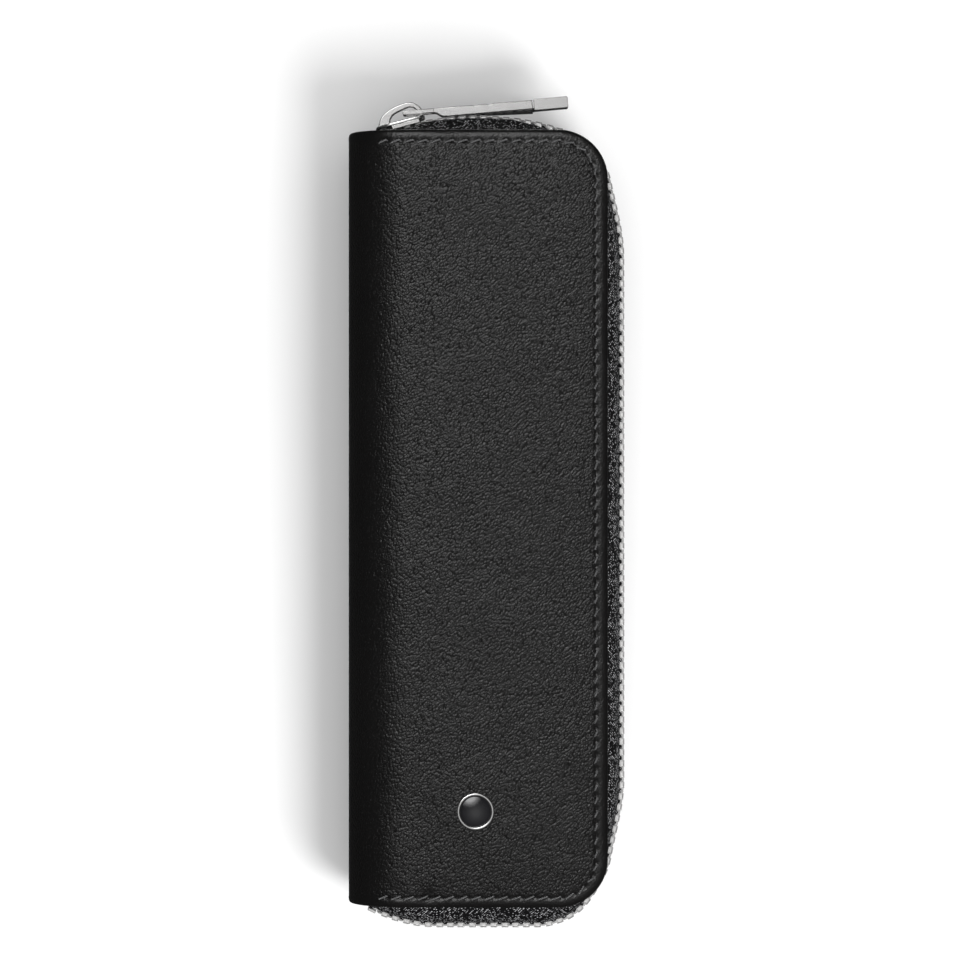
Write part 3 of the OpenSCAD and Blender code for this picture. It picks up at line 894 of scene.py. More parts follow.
@dataclass(frozen=True)
class Mill:
    """Makes prisms of one material in one local frame.

    The outlines lie in XY and are raised along Z, or with swap they lie in XZ and are raised along Y.
    """

    place: Place
    material: bpy.types.Material
    swap: bool = False

    def prism(self, name: str, outline: Sequence[Flat], low: float, high: float, edge: float,
              sharp: float = 25.0, segments: int = 2) -> bpy.types.Object:
        """Prism with rounded edges.

        Args:
            name: the piece's name.
            outline: the outline's points.
            low: where the prism starts along its axis.
            high: where it ends.
            edge: the rounding's width.
            sharp: the angle in degrees past which an edge is rounded.
            segments: the rounding's steps.

        Returns:
            The object.
        """
        body = Body(name)
        rows = []
        for level in (low, high):
            local = [(a, level, b) if self.swap else (a, b, level) for a, b in outline]
            rows.append(body.row(self.place.out(p) for p in local))
        body.skin(rows, closed=True)
        body.face(rows[0][::-1])
        body.face(rows[1])
        return round_edges(body.make([self.material]), edge, sharp, segments)


def press(made: bpy.types.Object, way: float, rim: float, depth: float, facing: float = 0.9) -> None:
    """Presses a hollow with a rim into the face of a mesh that looks up or down.

    Args:
        made: the object, changed in place.
        way: 1 for the face that looks up, -1 for the one that looks down.
        rim: the rim's width.
        depth: the hollow's depth.
        facing: least share of the face's normal that points that way.
    """
    with edited(made.data) as shell:
        shell.normal_update()
        picked = [f for f in shell.faces if f.normal.z * way > facing]
        bmesh.ops.inset_individual(shell, faces=picked, thickness=rim * MM, depth=-depth * MM)


def lathe(name: str, profile: Sequence[Flat], centre: Point,
          material: bpy.types.Material, steps: int = 96) -> bpy.types.Object:
    """Turned piece about an upright axis.

    Args:
        name: the piece's name.
        profile: pairs of radius and height; a radius of 0 closes the piece.
        centre: the axis and the height's zero.
        material: the finish.
        steps: how many sides the round has.

    Returns:
        The object.
    """
    body = Body(name)
    x, y, z = centre
    angles = [math.tau * i / steps for i in range(steps)]
    rows = [body.row((x + radius * math.cos(a), y + radius * math.sin(a), z + height) for a in angles)
            for radius, height in profile]
    body.skin(rows, closed=True)
    return body.make([material], merge=0.0001)


def join(pieces: Sequence[bpy.types.Object]) -> bpy.types.Object:
    """Joins several meshes with the same materials into the first one.

    Args:
        pieces: the objects; all but the first are removed.

    Returns:
        The first object.
    """
    first, *others = pieces
    with edited(first.data) as shell:
        for piece in others:
            shell.from_mesh(piece.data)
    for piece in others:
        bpy.data.objects.remove(piece)
    return first


# ---------------------------------------------------------------- pieces along a path


class Course:
    """A line of points with outward directions, cut by length."""

    def __init__(self, points: Sequence[PathPoint]) -> None:
        """Measures the line."""
        self.points = points
        self.lengths = [0.0]
        for a, b in zip(points, points[1:]):
            self.lengths.append(self.lengths[-1] + math.dist(a[0], b[0]))

    def at(self, length: float) -> PathPoint:
        """Point and outward direction at a length."""
        k, t = span_at(self.lengths, length)
        a, b = self.points[k], self.points[k + 1]
        return tuple(tuple(mix(p, q, t) for p, q in zip(a[w], b[w])) for w in (0, 1))

    def part(self, start: float, end: float) -> list[PathPoint]:
        """Points of the line between two lengths."""
        return [self.at(length) for length in spread(start, end, PATH_STEP)]


class PathArray:
    """Geometry Nodes tree that sets copies of one piece along a path."""

    def __init__(self) -> None:
        """Builds the tree with its named inputs."""
        self.tree = bpy.data.node_groups.new("pieces_along_path", "GeometryNodeTree")
        face = self.tree.interface
        self.ids = {}
        for name, kind in (("Path", "Geometry"), ("Piece", "Object"), ("Count", "Int"),
                           ("Wobble", "Float"), ("Seed", "Int"), ("Finish", "Material")):
            socket = face.new_socket(name, in_out="INPUT", socket_type="NodeSocket" + kind)
            self.ids[name] = socket.identifier
        face.new_socket("Pieces", in_out="OUTPUT", socket_type="NodeSocketGeometry")
        bench = Bench(self.tree)
        given = bench.node("NodeGroupInput")
        curve = bench.node("GeometryNodeMeshToCurve", {}, {"Mesh": given.beside("Path")})
        points = bench.node("GeometryNodeCurveToPoints", {"mode": "COUNT"},
                            {"Curve": curve, "Count": given.beside("Count")})
        outward = bench.node("GeometryNodeInputNamedAttribute", {"data_type": "FLOAT_VECTOR"},
                             {"Name": "outward"})
        along = bench.node("FunctionNodeAlignRotationToVector", {"axis": "X"},
                           {"Vector": points.beside("Tangent")})
        upright = bench.node("FunctionNodeAlignRotationToVector", {"axis": "Y", "pivot_axis": "X"},
                             {"Rotation": along, "Vector": outward})
        shake = bench.node("FunctionNodeRandomValue", {"data_type": "FLOAT"},
                           {"Min": -1.0, "Max": 1.0, "Seed": given.beside("Seed")}, 1)
        turn = bench.node("FunctionNodeAxisAngleToRotation", {},
                          {"Axis": (0, 1, 0), "Angle": shake * given.beside("Wobble")})
        facing = bench.node("FunctionNodeRotateRotation", {"rotation_space": "LOCAL"},
                            {"Rotation": upright, "Rotate By": turn})
        shape = bench.node("GeometryNodeObjectInfo", {"transform_space": "ORIGINAL"},
                           {"Object": given.beside("Piece")}, "Geometry")
        copies = bench.node("GeometryNodeInstanceOnPoints", {},
                            {"Points": points, "Instance": shape, "Rotation": facing})
        real = bench.node("GeometryNodeRealizeInstances", {}, {"Geometry": copies})
        shaded = bench.node("GeometryNodeSetMaterial", {},
                            {"Geometry": real, "Material": given.beside("Finish")})
        bench.node("NodeGroupOutput", {}, {0: shaded})

    def run(self, name: str, path: Sequence[PathPoint], piece: bpy.types.Object, count: int,
            finish: bpy.types.Material, wobble: float, seed: int = 7) -> bpy.types.Object:
        """Sets copies along a path and returns them as one plain mesh object.

        Args:
            name: the new piece's name.
            path: points with their outward directions, in millimetres.
            piece: the copied piece, with +X along the path and +Y outward; it is removed.
            count: how many copies there are, the path's ends included.
            finish: their material.
            wobble: most that a copy is turned about its outward axis, in radians.
            seed: the random turn's seed.

        Returns:
            The object.
        """
        mesh = bpy.data.meshes.new(name + "_path")
        mesh.from_pydata([metres(p) for p, _ in path], [(i, i + 1) for i in range(len(path) - 1)], [])
        mark = mesh.attributes.new("outward", "FLOAT_VECTOR", "POINT")
        mark.data.foreach_set("vector", [v for _, out in path for v in out])
        guide = add_object(name + "_path", mesh)
        modifier = guide.modifiers.new("pieces", "NODES")
        modifier.node_group = self.tree
        values = {"Piece": piece, "Count": count, "Wobble": wobble, "Seed": seed, "Finish": finish}
        for key, value in values.items():
            modifier[self.ids[key]] = value
        view = bpy.context.evaluated_depsgraph_get()
        result = bpy.data.meshes.new_from_object(guide.evaluated_get(view))
        result.name = name
        guide.modifiers.clear()
        bpy.data.objects.remove(guide)
        bpy.data.objects.remove(piece)
        if not result.materials:
            result.materials.append(finish)
        return add_object(name, result)


@dataclass
class Needle:
    """Sews rows of stitches, each of two twisted plies between its holes."""

    thread: bpy.types.Material
    array: PathArray
    length: float = 2.35
    sway: float = 0.4
    hook: float = 0.45
    hook_from: float = 0.8
    lift: float = 0.4
    dive: float = 0.72
    ply_r: float = 0.125
    ply_gap: float = 0.12
    twist: float = 0.94
    rings: int = 24
    sides: int = 6

    def stitch(self, length: float, sway: float) -> bpy.types.Object:
        """One stitch, +Y outward.

        Args:
            length: distance between the holes.
            sway: how far the thread swings to each side of the line between them.

        Returns:
            The object.
        """
        body = Body("stitch")
        angles = [math.tau * j / self.sides for j in range(self.sides)]
        for ply in (0, math.pi):
            rows = []
            for i in range(self.rings + 1):
                t = i / self.rings
                x = mix(-length / 2, length / 2, t)
                twist = ply + math.tau * x / self.twist
                y = self.lift - self.dive * (2 * t - 1) ** 4 + self.ply_gap * math.cos(twist)
                hook = self.hook * smooth((t - self.hook_from) / (1 - self.hook_from))
                z = -sway * (2 * t - 1 - hook) + self.ply_gap * math.sin(twist)
                rows.append(body.row((x, y + self.ply_r * math.cos(a), z + self.ply_r * math.sin(a))
                                     for a in angles))
            body.skin(rows, closed=True)
            body.face(rows[0])
            body.face(rows[-1])
        return body.make([self.thread])

    def sew(self, name: str, path: Sequence[PathPoint], count: int, length: float, sway: float,
            wobble: float) -> bpy.types.Object:
        """Sews a row of stitches along a path, each turned at random by up to the wobble in radians."""
        return self.array.run(name, path, self.stitch(length, sway), count, self.thread, wobble)


# ---------------------------------------------------------------- shell


@dataclass(frozen=True)
class Dent:
    """A small hollow in the leather."""

    across: float
    along: float
    depth: float
    reach: float


@dataclass(frozen=True)
class Wave:
    """A gentle unevenness in the leather: its depth, its two lengths and its place in the noise."""

    depth: float
    across: float
    along: float
    seed: float


WAVES = (Wave(0.17, 17, 24, 0), Wave(0.07, 6, 8, 9), Wave(0.03, 2.2, 2.2, 31))
DENTS = (
    Dent(CASE.arc_run + 4.2, -79.6, 0.42, 1.5),
    Dent(CASE.arc_run - 2.4, -78.9, 0.22, 2.0),
    Dent(CASE.arc_run + 1.5, 78.6, 0.16, 2.2),
    Dent(CASE.arc_run + 3.0, 62.0, 0.10, 7.0),
)


@dataclass
class Relief:
    """How the leather's face rises and sinks against its plain level."""

    half: Half
    puff: float = 0.34
    puff_from: float = 2.6
    puff_fade: float = 5.0
    flat_from: float = 4.0
    flat_run: float = 14.0
    half_seed: float = 3.7
    spine_calm: float = 6.0
    sewn_from: float = 13.6
    sewn_run: float = 1.5
    groove: float = 0.07
    hole: float = 0.26
    groove_half: float = 0.4
    border_fall: float = 0.3
    grow_side: float = 0.42
    grow_top: float = 0.38
    calm_grain: float = 0.35
    grain_from: float = 1.7
    grain_run: float = 1.3

    def border(self, inset: float) -> float:
        """1 at the leather's edge, falling to 0 at the stitch line."""
        return max(0.0, 1 - inset / CASE.stitch_inset)

    def growth(self, nx: float, ny: float, inset: float) -> float:
        """How far the border is stretched outward past its plain outline."""
        return self.border(inset) * (self.grow_side * nx * nx + self.grow_top * max(ny, 0.0) ** 2)

    def grain(self, inset: float) -> float:
        """Share of the pebbled grain that the border keeps."""
        return mix(self.calm_grain, 1.0, smooth((inset - self.grain_from) / self.grain_run))

    def rise(self, across: float, along: float, inset: float, run: float) -> float:
        """Height over the plain level.

        Args:
            across: distance from the middle of the spine, along the leather.
            along: position along the spine.
            inset: distance from the leather's edge.
            run: length along the stitch line, from its middle.

        Returns:
            The height in millimetres.
        """
        flat = smooth((across - CASE.arc_run + self.flat_from) / self.flat_run)
        rise = self.puff * (1 - math.exp(-max(inset - self.puff_from, 0) / self.puff_fade)) * flat
        seed = self.half_seed * self.half.value
        wave = sum(w.depth * noise.noise(Vector((across / w.across, along / w.along, seed + w.seed)))
                   for w in WAVES)
        rise += wave * smooth(across / self.spine_calm)
        for dent in DENTS if self.half is Half.FRONT else ():
            gap = math.dist((across, along), (dent.across, dent.along)) / dent.reach
            rise -= dent.depth * math.exp(-gap * gap)
        sewn = smooth((across - self.sewn_from) / self.sewn_run)
        near = abs(inset - CASE.stitch_inset)
        hole = (0.5 - 0.5 * math.cos(math.tau * run / CASE.seam_pitch)) ** 2
        groove = self.groove + self.hole * hole
        rise -= sewn * groove * math.exp(-(near / self.groove_half) ** 2)
        return rise - self.border_fall * self.border(inset) * smooth(across / CASE.arc_run)


def border_columns(step: float) -> list[tuple[float, float, float, float]]:
    """Columns of a cover's border: a point of the inner rectangle and the direction to the edge.

    Args:
        step: distance between two columns.

    Returns:
        For each column the point in flattened coordinates and the direction, as four numbers.
    """
    far, high = CASE.corner_across, CASE.corner_y
    top = [(d, high, 0.0, 1.0) for d in spread(0, far, step)]
    turn = [(far, high, math.cos(a), math.sin(a)) for a in spread(math.pi / 2, 0, step / CASE.corner_r)]
    side = [(far, y, 1.0, 0.0) for y in spread(high, -high, step)]
    upper = top + turn[1:]
    return upper + side[1:-1] + [(d, -y, a, -b) for d, y, a, b in reversed(upper)]


@dataclass
class ShellLayer:
    """One layer of one half of the shell, from the middle of the spine to the opening edge.

    The rings are pairs of the inset from the leather's edge and the drop below the layer's face.
    """

    name: str
    half: Half
    face_h: float
    thick: float
    rings: Sequence[Flat]
    nodes: tuple[str, str]
    slot: str
    materials: list[bpy.types.Material]
    step: float
    relief: Relief | None = None
    blend_low: float = math.radians(14)
    blend_high: float = math.radians(76)

    def point(self, d: float, y: float, inset: float, drop: float, run: float, outer: bool) -> Point:
        """Point of the outer or the inner face.

        Args:
            d: distance from the middle of the spine, along the leather.
            y: position along the spine.
            inset: distance from the leather's edge.
            drop: how far the outer face is rounded down here.
            run: length along the stitch line, from its middle.
            outer: whether the point is one of the outer face.

        Returns:
            The point in the part's frame.
        """
        if not outer:
            return CASE.place(d, y, self.face_h - self.thick, self.half)
        rise = self.relief.rise(d, y, inset, run) if self.relief else 0.0
        return CASE.place(d, y, self.face_h - drop + rise, self.half)

    def border_rows(self, body: Body, outer: bool) -> list[list[int]]:
        """Adds the border's rows of points, from the edge inward, to the outer or the inner face.

        Args:
            body: the body that takes the points.
            outer: whether they are of the outer face.

        Returns:
            The points' numbers, row by row.
        """
        columns = border_columns(self.step)
        seam = [(cx + CASE.seam_reach * nx, cy + CASE.seam_reach * ny) for cx, cy, nx, ny in columns]
        runs = [0.0]
        for a, b in zip(seam, seam[1:]):
            runs.append(runs[-1] + math.dist(a, b))
        rows = []
        for inset, drop in self.rings:
            row = []
            for (cx, cy, nx, ny), run in zip(columns, runs):
                reach = CASE.corner_r - inset
                if self.relief:
                    reach += self.relief.growth(nx, ny, inset)
                middle = run - runs[-1] / 2
                row.append(self.point(cx + reach * nx, cy + reach * ny, inset, drop, middle, outer))
            rows.append(body.row(row, self.relief.grain(inset) if self.relief else 1.0))
        return rows

    def middle_rows(self, body: Body, outer: bool) -> list[list[int]]:
        """Adds the rows of points inside the border to the outer or the inner face.

        Args:
            body: the body that takes the points.
            outer: whether they are of the outer face.

        Returns:
            The points' numbers, row by row.
        """
        far, high, r = CASE.corner_across, CASE.corner_y, CASE.corner_r
        return [body.row(self.point(d, y, r + min(far - d, high - abs(y)), 0.0, 0.0, outer)
                         for d in spread(0, far, self.step))
                for y in spread(high, -high, self.step)]

    def build(self) -> bpy.types.Object:
        """Builds the layer as a closed mesh."""
        body = Body(self.name)
        rims, ends = [], []
        for outer in (True, False):
            rows = self.border_rows(body, outer)
            body.skin(rows)
            grid = self.middle_rows(body, outer)
            body.skin(grid)
            rims.append(rows[0])
            ends.append([row[0] for row in rows + grid] + [row[-1] for row in reversed(rows)])
        body.skin(rims, slot=len(self.materials) - 1)
        body.skin(ends)
        return body.make(self.materials, merge=0.001)

    def dress(self) -> None:
        """Builds the layer and stands it for its CAD nodes."""
        made = self.build()
        low, high = [metres((CASE.spine_x - CASE.half_t * math.sin(turn), 0.0,
                             CASE.half_t + self.half.value * CASE.half_t * math.cos(turn)))
                     for turn in (self.blend_low, self.blend_high)]
        if self.half is Half.BACK:
            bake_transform(made)
        else:
            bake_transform(made)
        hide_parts(*self.nodes)
        if self.slot == "lining":
            inset = self.rings[0][0]
            flat = ((CASE.across - inset) * MM, 2 * (CASE.half_l - inset) * MM)
        LOG.info("%s: %d faces", made.name, len(made.data.polygons))


@dataclass
class Shell:
    """Leather, board and lining of both halves, and their stitching."""

    finishes: Finishes
    needle: Needle
    crown: tuple[Flat, ...] = ((0.0, 0.78), (0.06, 0.5), (0.18, 0.26), (0.36, 0.1), (0.62, 0.02),
                               (0.95, -0.03), (1.3, -0.03))
    level: tuple[float, ...] = (1.6, 1.8, 1.95, 2.1, 2.25, 2.4, 2.65, 3.0, 3.5, 4.2, 5.0, 6.0, 7.2,
                                8.6, 10.2)
    fine_step: float = 0.46
    board_step: float = 2.8
    lining_step: float = 2.0
    board_slack: float = 0.03
    thread_sink: float = 0.24
    side_stitch: float = 1.7
    side_share: float = 0.45
    wobble: float = 0.06
    hair: float = 0.001

    def layers(self, half: Half) -> list[ShellLayer]:
        """The three layers of one half.

        Args:
            half: the half.

        Returns:
            Leather, board and lining.
        """
        word, finishes = half.word, self.finishes
        board_h = CASE.half_t - CASE.leather_t
        slack = self.board_slack
        inset, seam, end = CASE.lining_inset, CASE.seam_w, (CASE.corner_r, 0.0)
        rings = [*self.crown, *((inset, 0.0) for inset in self.level)]
        board_rings = [(seam, 0.12), (seam + 0.15, 0.0), (7.5, 0.0), end]
        lining_rings = [(inset, 0.3), (inset + 0.12, 0.08), (inset + 0.4, 0.0), (3.5, 0.0), (6.5, 0.0), end]
        return [
            ShellLayer(word + "_leather", half, CASE.half_t, CASE.leather_t, rings,
                       (word + "_cover_leather", "spine_leather"), "cover_leather",
                       [finishes.leather, finishes.edge], self.fine_step, Relief(half)),
            ShellLayer(word + "_stiffener", half, board_h - slack, CASE.board_t - 2 * slack, board_rings,
                       (word + "_board", "spine_board"), "board", [finishes.board], self.board_step),
            ShellLayer(word + "_inner_lining", half, board_h - CASE.board_t, CASE.lining_t, lining_rings,
                       (word + "_lining", "spine_lining"), "lining", [finishes.lining],
                       self.lining_step),
        ]

    def stitches(self, half: Half) -> None:
        """Sews round one cover: long stitches along the ends, short ones along the opening side.

        Args:
            half: the half whose cover is sewn.
        """
        line: list[PathPoint] = []
        for cx, cy, nx, ny in border_columns(self.fine_step):
            d, y = cx + CASE.seam_reach * nx, cy + CASE.seam_reach * ny
            if d >= CASE.stitch_first:
                place = CASE.place(d, y, CASE.half_t - self.thread_sink, half)
                line.append((place, CASE.normal(d, half)))
        course = Course(line)
        share = course.lengths[-1] / (CASE.seam_count - 1)
        corner = CASE.seam_leg + math.pi / 2 * CASE.seam_reach * self.side_share
        last = CASE.seam_count - 1
        turn = last - math.ceil((CASE.seam_total - corner) / CASE.seam_pitch - self.hair)
        long, sway = self.needle.length, self.needle.sway
        parts = []
        for a, b, length, way in ((0, turn, long, sway),
                                  (turn + 1, last - 1 - turn, self.side_stitch, -sway),
                                  (last - turn, last, long, sway)):
            parts.append(self.needle.sew("stitching", course.part(a * share, b * share), b - a + 1,
                                         length, way * half.value, self.wobble))
        made = join(parts)
        made.name = half.word + "_stitching"
        hand_over(made, half.body, "thread", half.word + "_stitches")

    def build(self) -> None:
        """Builds the shell."""
        for half in Half:
            for layer in self.layers(half):
                layer.dress()
            self.stitches(half)


# ---------------------------------------------------------------- zip


@dataclass
class ZipTape:
    """The woven tape of one half, from its sewn flange to its corded edge.

    A rise or a fall is a pair of where it starts and how long it takes.
    """

    half: Half
    finishes: Finishes
    bend: float = 0.8
    bend_soft: float = 0.3
    flange: float = 5.0
    steer: float = 0.55
    stations: int = 1100
    curve_cuts: int = 14
    belly: float = 0.9
    belly_h: float = 6.2
    belly_spread: float = 1.35
    belly_rise: Flat = (6.0, 8.0)
    belly_fall: Flat = (1.0, 9.0)
    sink: float = 0.2
    sink_rise: Flat = (2.6, 0.8)
    sink_fall: Flat = (7.5, 3.0)
    cord_out: float = 0.62
    cord_h: float = 3.1
    cord_fade: float = 0.9
    ripple: float = 0.06
    ripple_l: float = 4.0
    ripple_w: float = 3.0

    def gap(self, s: float) -> float:
        """0 at a tooth and 1 halfway to the next one."""
        turn = (ZIP.length_at(s) - ZIP.first_tooth - ZIP.shift(self.half)) / ZIP.tooth_pitch
        return 0.5 - 0.5 * math.cos(math.tau * turn)

    def section(self, s: float) -> list[Flat]:
        """Middle line of the tape's section as offset and distance from the middle plane.

        Args:
            s: distance along the base line.

        Returns:
            The line's points, from the flange to the corded edge.
        """
        x = ZIP.base(s)[0][0]
        top = CASE.half_t - CASE.leather_t - CASE.board_t / 2
        if x < CASE.spine_x:
            top = math.sqrt(top * top - (x - CASE.spine_x) ** 2)
        offset = ZIP.bulge(s) - ZIP.tooth_d / 2
        ctrl = mix(ZIP.tape_edge, top, self.steer)
        belly = self.belly * smooth((s - self.belly_rise[0]) / self.belly_rise[1])
        belly *= smooth((ZIP.top_run - self.belly_fall[0] - s) / self.belly_fall[1])
        cord = self.cord_out * self.gap(s) - self.sink
        line = [(-self.flange, top), (-self.flange / 2, top), (-self.bend - self.bend_soft, top)]
        for i in range(self.curve_cuts + 1):
            t = i / self.curve_cuts
            o = (1 - t) ** 2 * -self.bend + 2 * t * (1 - t) * offset + t * t * offset
            h = (1 - t) ** 2 * top + 2 * t * (1 - t) * ctrl + t * t * ZIP.tape_edge
            fold = math.exp(-(((h - self.belly_h) / self.belly_spread) ** 2))
            hollow = self.sink * smooth((h - self.sink_rise[0]) / self.sink_rise[1])
            hollow *= smooth((self.sink_fall[0] - h) / self.sink_fall[1])
            o += belly * fold + cord * smooth((self.cord_h - h) / self.cord_fade) - hollow
            line.append((o, h))
        return line

    def ring(self, s: float) -> tuple[list[Flat], list[float]]:
        """Closed outline of the section and each point's width along the tape.

        Args:
            s: distance along the base line.

        Returns:
            The outline and the widths, in the same order.
        """
        line = self.section(s)
        half_t = ZIP.tape_t / 2
        outer, inner, widths = [], [], []
        width = 0.0
        for i, p in enumerate(line):
            a, b = line[max(i - 1, 0)], line[min(i + 1, len(line) - 1)]
            long = math.dist(a, b)
            nx, nz = -(b[1] - a[1]) / long, (b[0] - a[0]) / long
            width += math.dist(p, a)
            spot = Vector((s / self.ripple_l, width / self.ripple_w, 2.0 * self.half.value))
            ripple = self.ripple * noise.noise(spot)
            outer.append((p[0] + nx * half_t + ripple, p[1] + nz * half_t))
            inner.append((p[0] - nx * half_t + ripple, p[1] - nz * half_t))
            widths.append(width)
        return outer + inner[::-1], widths + widths[::-1]

    def build(self) -> None:
        """Builds the tape."""
        body = Body(self.half.word + "_tape")
        rows, marks = [], []
        for i in range(self.stations + 1):
            s = ZIP.total * i / self.stations
            ring, widths = self.ring(s)
            rows.append(body.row((*ZIP.at(s, offset), CASE.half_t + self.half.value * h)
                                 for offset, h in ring))
            marks.append([(s, w) for w in widths])
        body.skin(rows, closed=True, marks=marks)
        for end in (0, -1):
            body.face(rows[end], 0, marks[end])
        made = body.make([self.finishes.tape])
        hand_over(made, self.half.body, "zip_tape", self.half.word + "_zip_tape")
        wide = max(self.ring(ZIP.total / 2)[1])
        wide * MM


@dataclass
class ToothRows:
    """The teeth of one half, as the run under the slider and the rest, and the stops."""

    half: Half
    finishes: Finishes
    array: PathArray
    thick: float = 0.9
    reach: float = 3.0
    head: float = 1.0
    slot: float = 0.5
    slot_out: float = 0.2
    leg_from: float = 1.5
    leg_w: float = 1.5
    leg_rim: float = 0.26
    leg_press: float = 0.3
    wobble: float = 0.035
    seed: int = 11
    stop_l: float = 1.8
    stop_back: float = 4.1
    stop_end: float = 1.6

    def flipped(self, outline: Sequence[Flat]) -> list[Flat]:
        """Outline with its second coordinate turned towards this half's tape."""
        return [(y, self.half.value * z) for y, z in outline]

    def tooth(self) -> bpy.types.Object:
        """One tooth: +X along the zip, +Y outward, its legs towards its own tape."""
        d = ZIP.tooth_d / 2
        mill = Mill(Place((0, 0, 0), (0, 1, 0), (0, 0, 1), (1, 0, 0)), self.finishes.teeth)
        right = [(0.55 * d, -self.head), (0.9 * d, 0.35 - self.head), (d, 0.9 - self.head),
                 (0.84 * d, 0.35), (0.84 * d, 0.75), (d, 1.25), (d, self.leg_from + 0.3)]
        head = [(-right[0][0], right[0][1]), *right, *((-y, z) for y, z in right[:0:-1])]
        low, top = self.leg_from, self.reach
        outer = [(self.slot_out, low), (d, low), (d, top), (self.slot_out, top)]
        inner = [(-d, low), (-self.slot, low), (-self.slot, top), (-d, top)]
        parts = [mill.prism("tooth", self.flipped(head), -self.thick / 2, self.thick / 2, 0.13,
                            sharp=30, segments=1)]
        for leg in (outer, inner):
            made = mill.prism("leg", self.flipped(leg), -self.leg_w / 2, self.leg_w / 2, 0.0,
                              sharp=180, segments=1)
            press(made, self.half.value, self.leg_rim, self.leg_press)
            parts.append(round_edges(made, 0.12, 30, 1))
        return join(parts)

    def row(self, name: str, first: int, last: int, node: str) -> None:
        """Teeth from one index to another as one piece.

        Args:
            name: the piece's name.
            first: the first tooth, counted from the slider.
            last: the last tooth.
            node: the CAD node that the piece stands for.
        """
        start, end = [ZIP.first_tooth + ZIP.shift(self.half) + i * ZIP.tooth_pitch for i in (first, last)]
        route = []
        for length in spread(start, end, PATH_STEP):
            s = ZIP.s_at(length)
            route.append(((*ZIP.edge(s), CASE.half_t), (*ZIP.outward(s), 0.0)))
        made = self.array.run(name, route, self.tooth(), last - first + 1, self.finishes.teeth,
                              self.wobble, seed=self.seed + first)
        hand_over(made, self.half.body, "zip_teeth", node)

    def stop(self, name: str, outline: Sequence[Flat], length: float, node: str) -> None:
        """Clamp across the tape's edge at a length along it.

        Args:
            name: the piece's name.
            outline: its outline, outward first and then towards the front cover.
            length: where it sits along the edge.
            node: the CAD node that it stands for.
        """
        s = ZIP.s_at(length)
        out = ZIP.outward(s)
        place = Place((*ZIP.edge(s), CASE.half_t), (*out, 0.0), (0, 0, 1), (out[1], -out[0], 0.0))
        made = Mill(place, self.finishes.teeth).prism(name, outline, -self.stop_l / 2, self.stop_l / 2,
                                                      0.12)
        hand_over(made, self.half.body, "zip_teeth", node)

    def bottom_stop(self) -> None:
        """Clamp at the zip's lower end: it grips the back tape and leaves a slot for the front tape."""
        d = ZIP.tooth_d / 2 + 0.1
        slot, wide, grip, r = self.slot, 0.7, 1.45, self.reach
        outline = [
            (-d, -r + 0.3), (-d + 0.3, -r), (-slot, -r), (-slot, -grip), (slot, -grip), (slot, -r),
            (d - 0.3, -r), (d, -r + 0.3), (d, r - 0.3), (d - 0.2, r), (wide, r), (wide, grip),
            (-wide, grip), (-wide, r), (-d + 0.2, r), (-d, r - 0.3),
        ]
        self.stop("lower_stop", outline, ZIP.lengths[-1] - self.stop_end, "bottom_stop")

    def build(self) -> None:
        """Builds the rows and the top stop."""
        word, run, d, slot = self.half.word, ZIP.run_count, ZIP.tooth_d / 2, self.slot
        self.row(word + "_top_run_teeth", 0, run - 1, word + "_teeth_top_run")
        self.row(word + "_long_run_teeth", run, ZIP.tooth_count - 1, word + "_teeth")
        outline = [(-0.8 * d, 1.4), (0.8 * d, 1.4), (d, 1.7), (d, 2.6), (0.8 * d, 3.0), (slot, 3.0),
                   (slot, 1.55), (-slot, 1.55), (-slot, 3.0), (-0.8 * d, 3.0), (-d, 2.6), (-d, 1.7)]
        self.stop(word + "_stop", self.flipped(outline), ZIP.slider_length - self.stop_back,
                  word + "_top_stop")


# ---------------------------------------------------------------- slider and pull


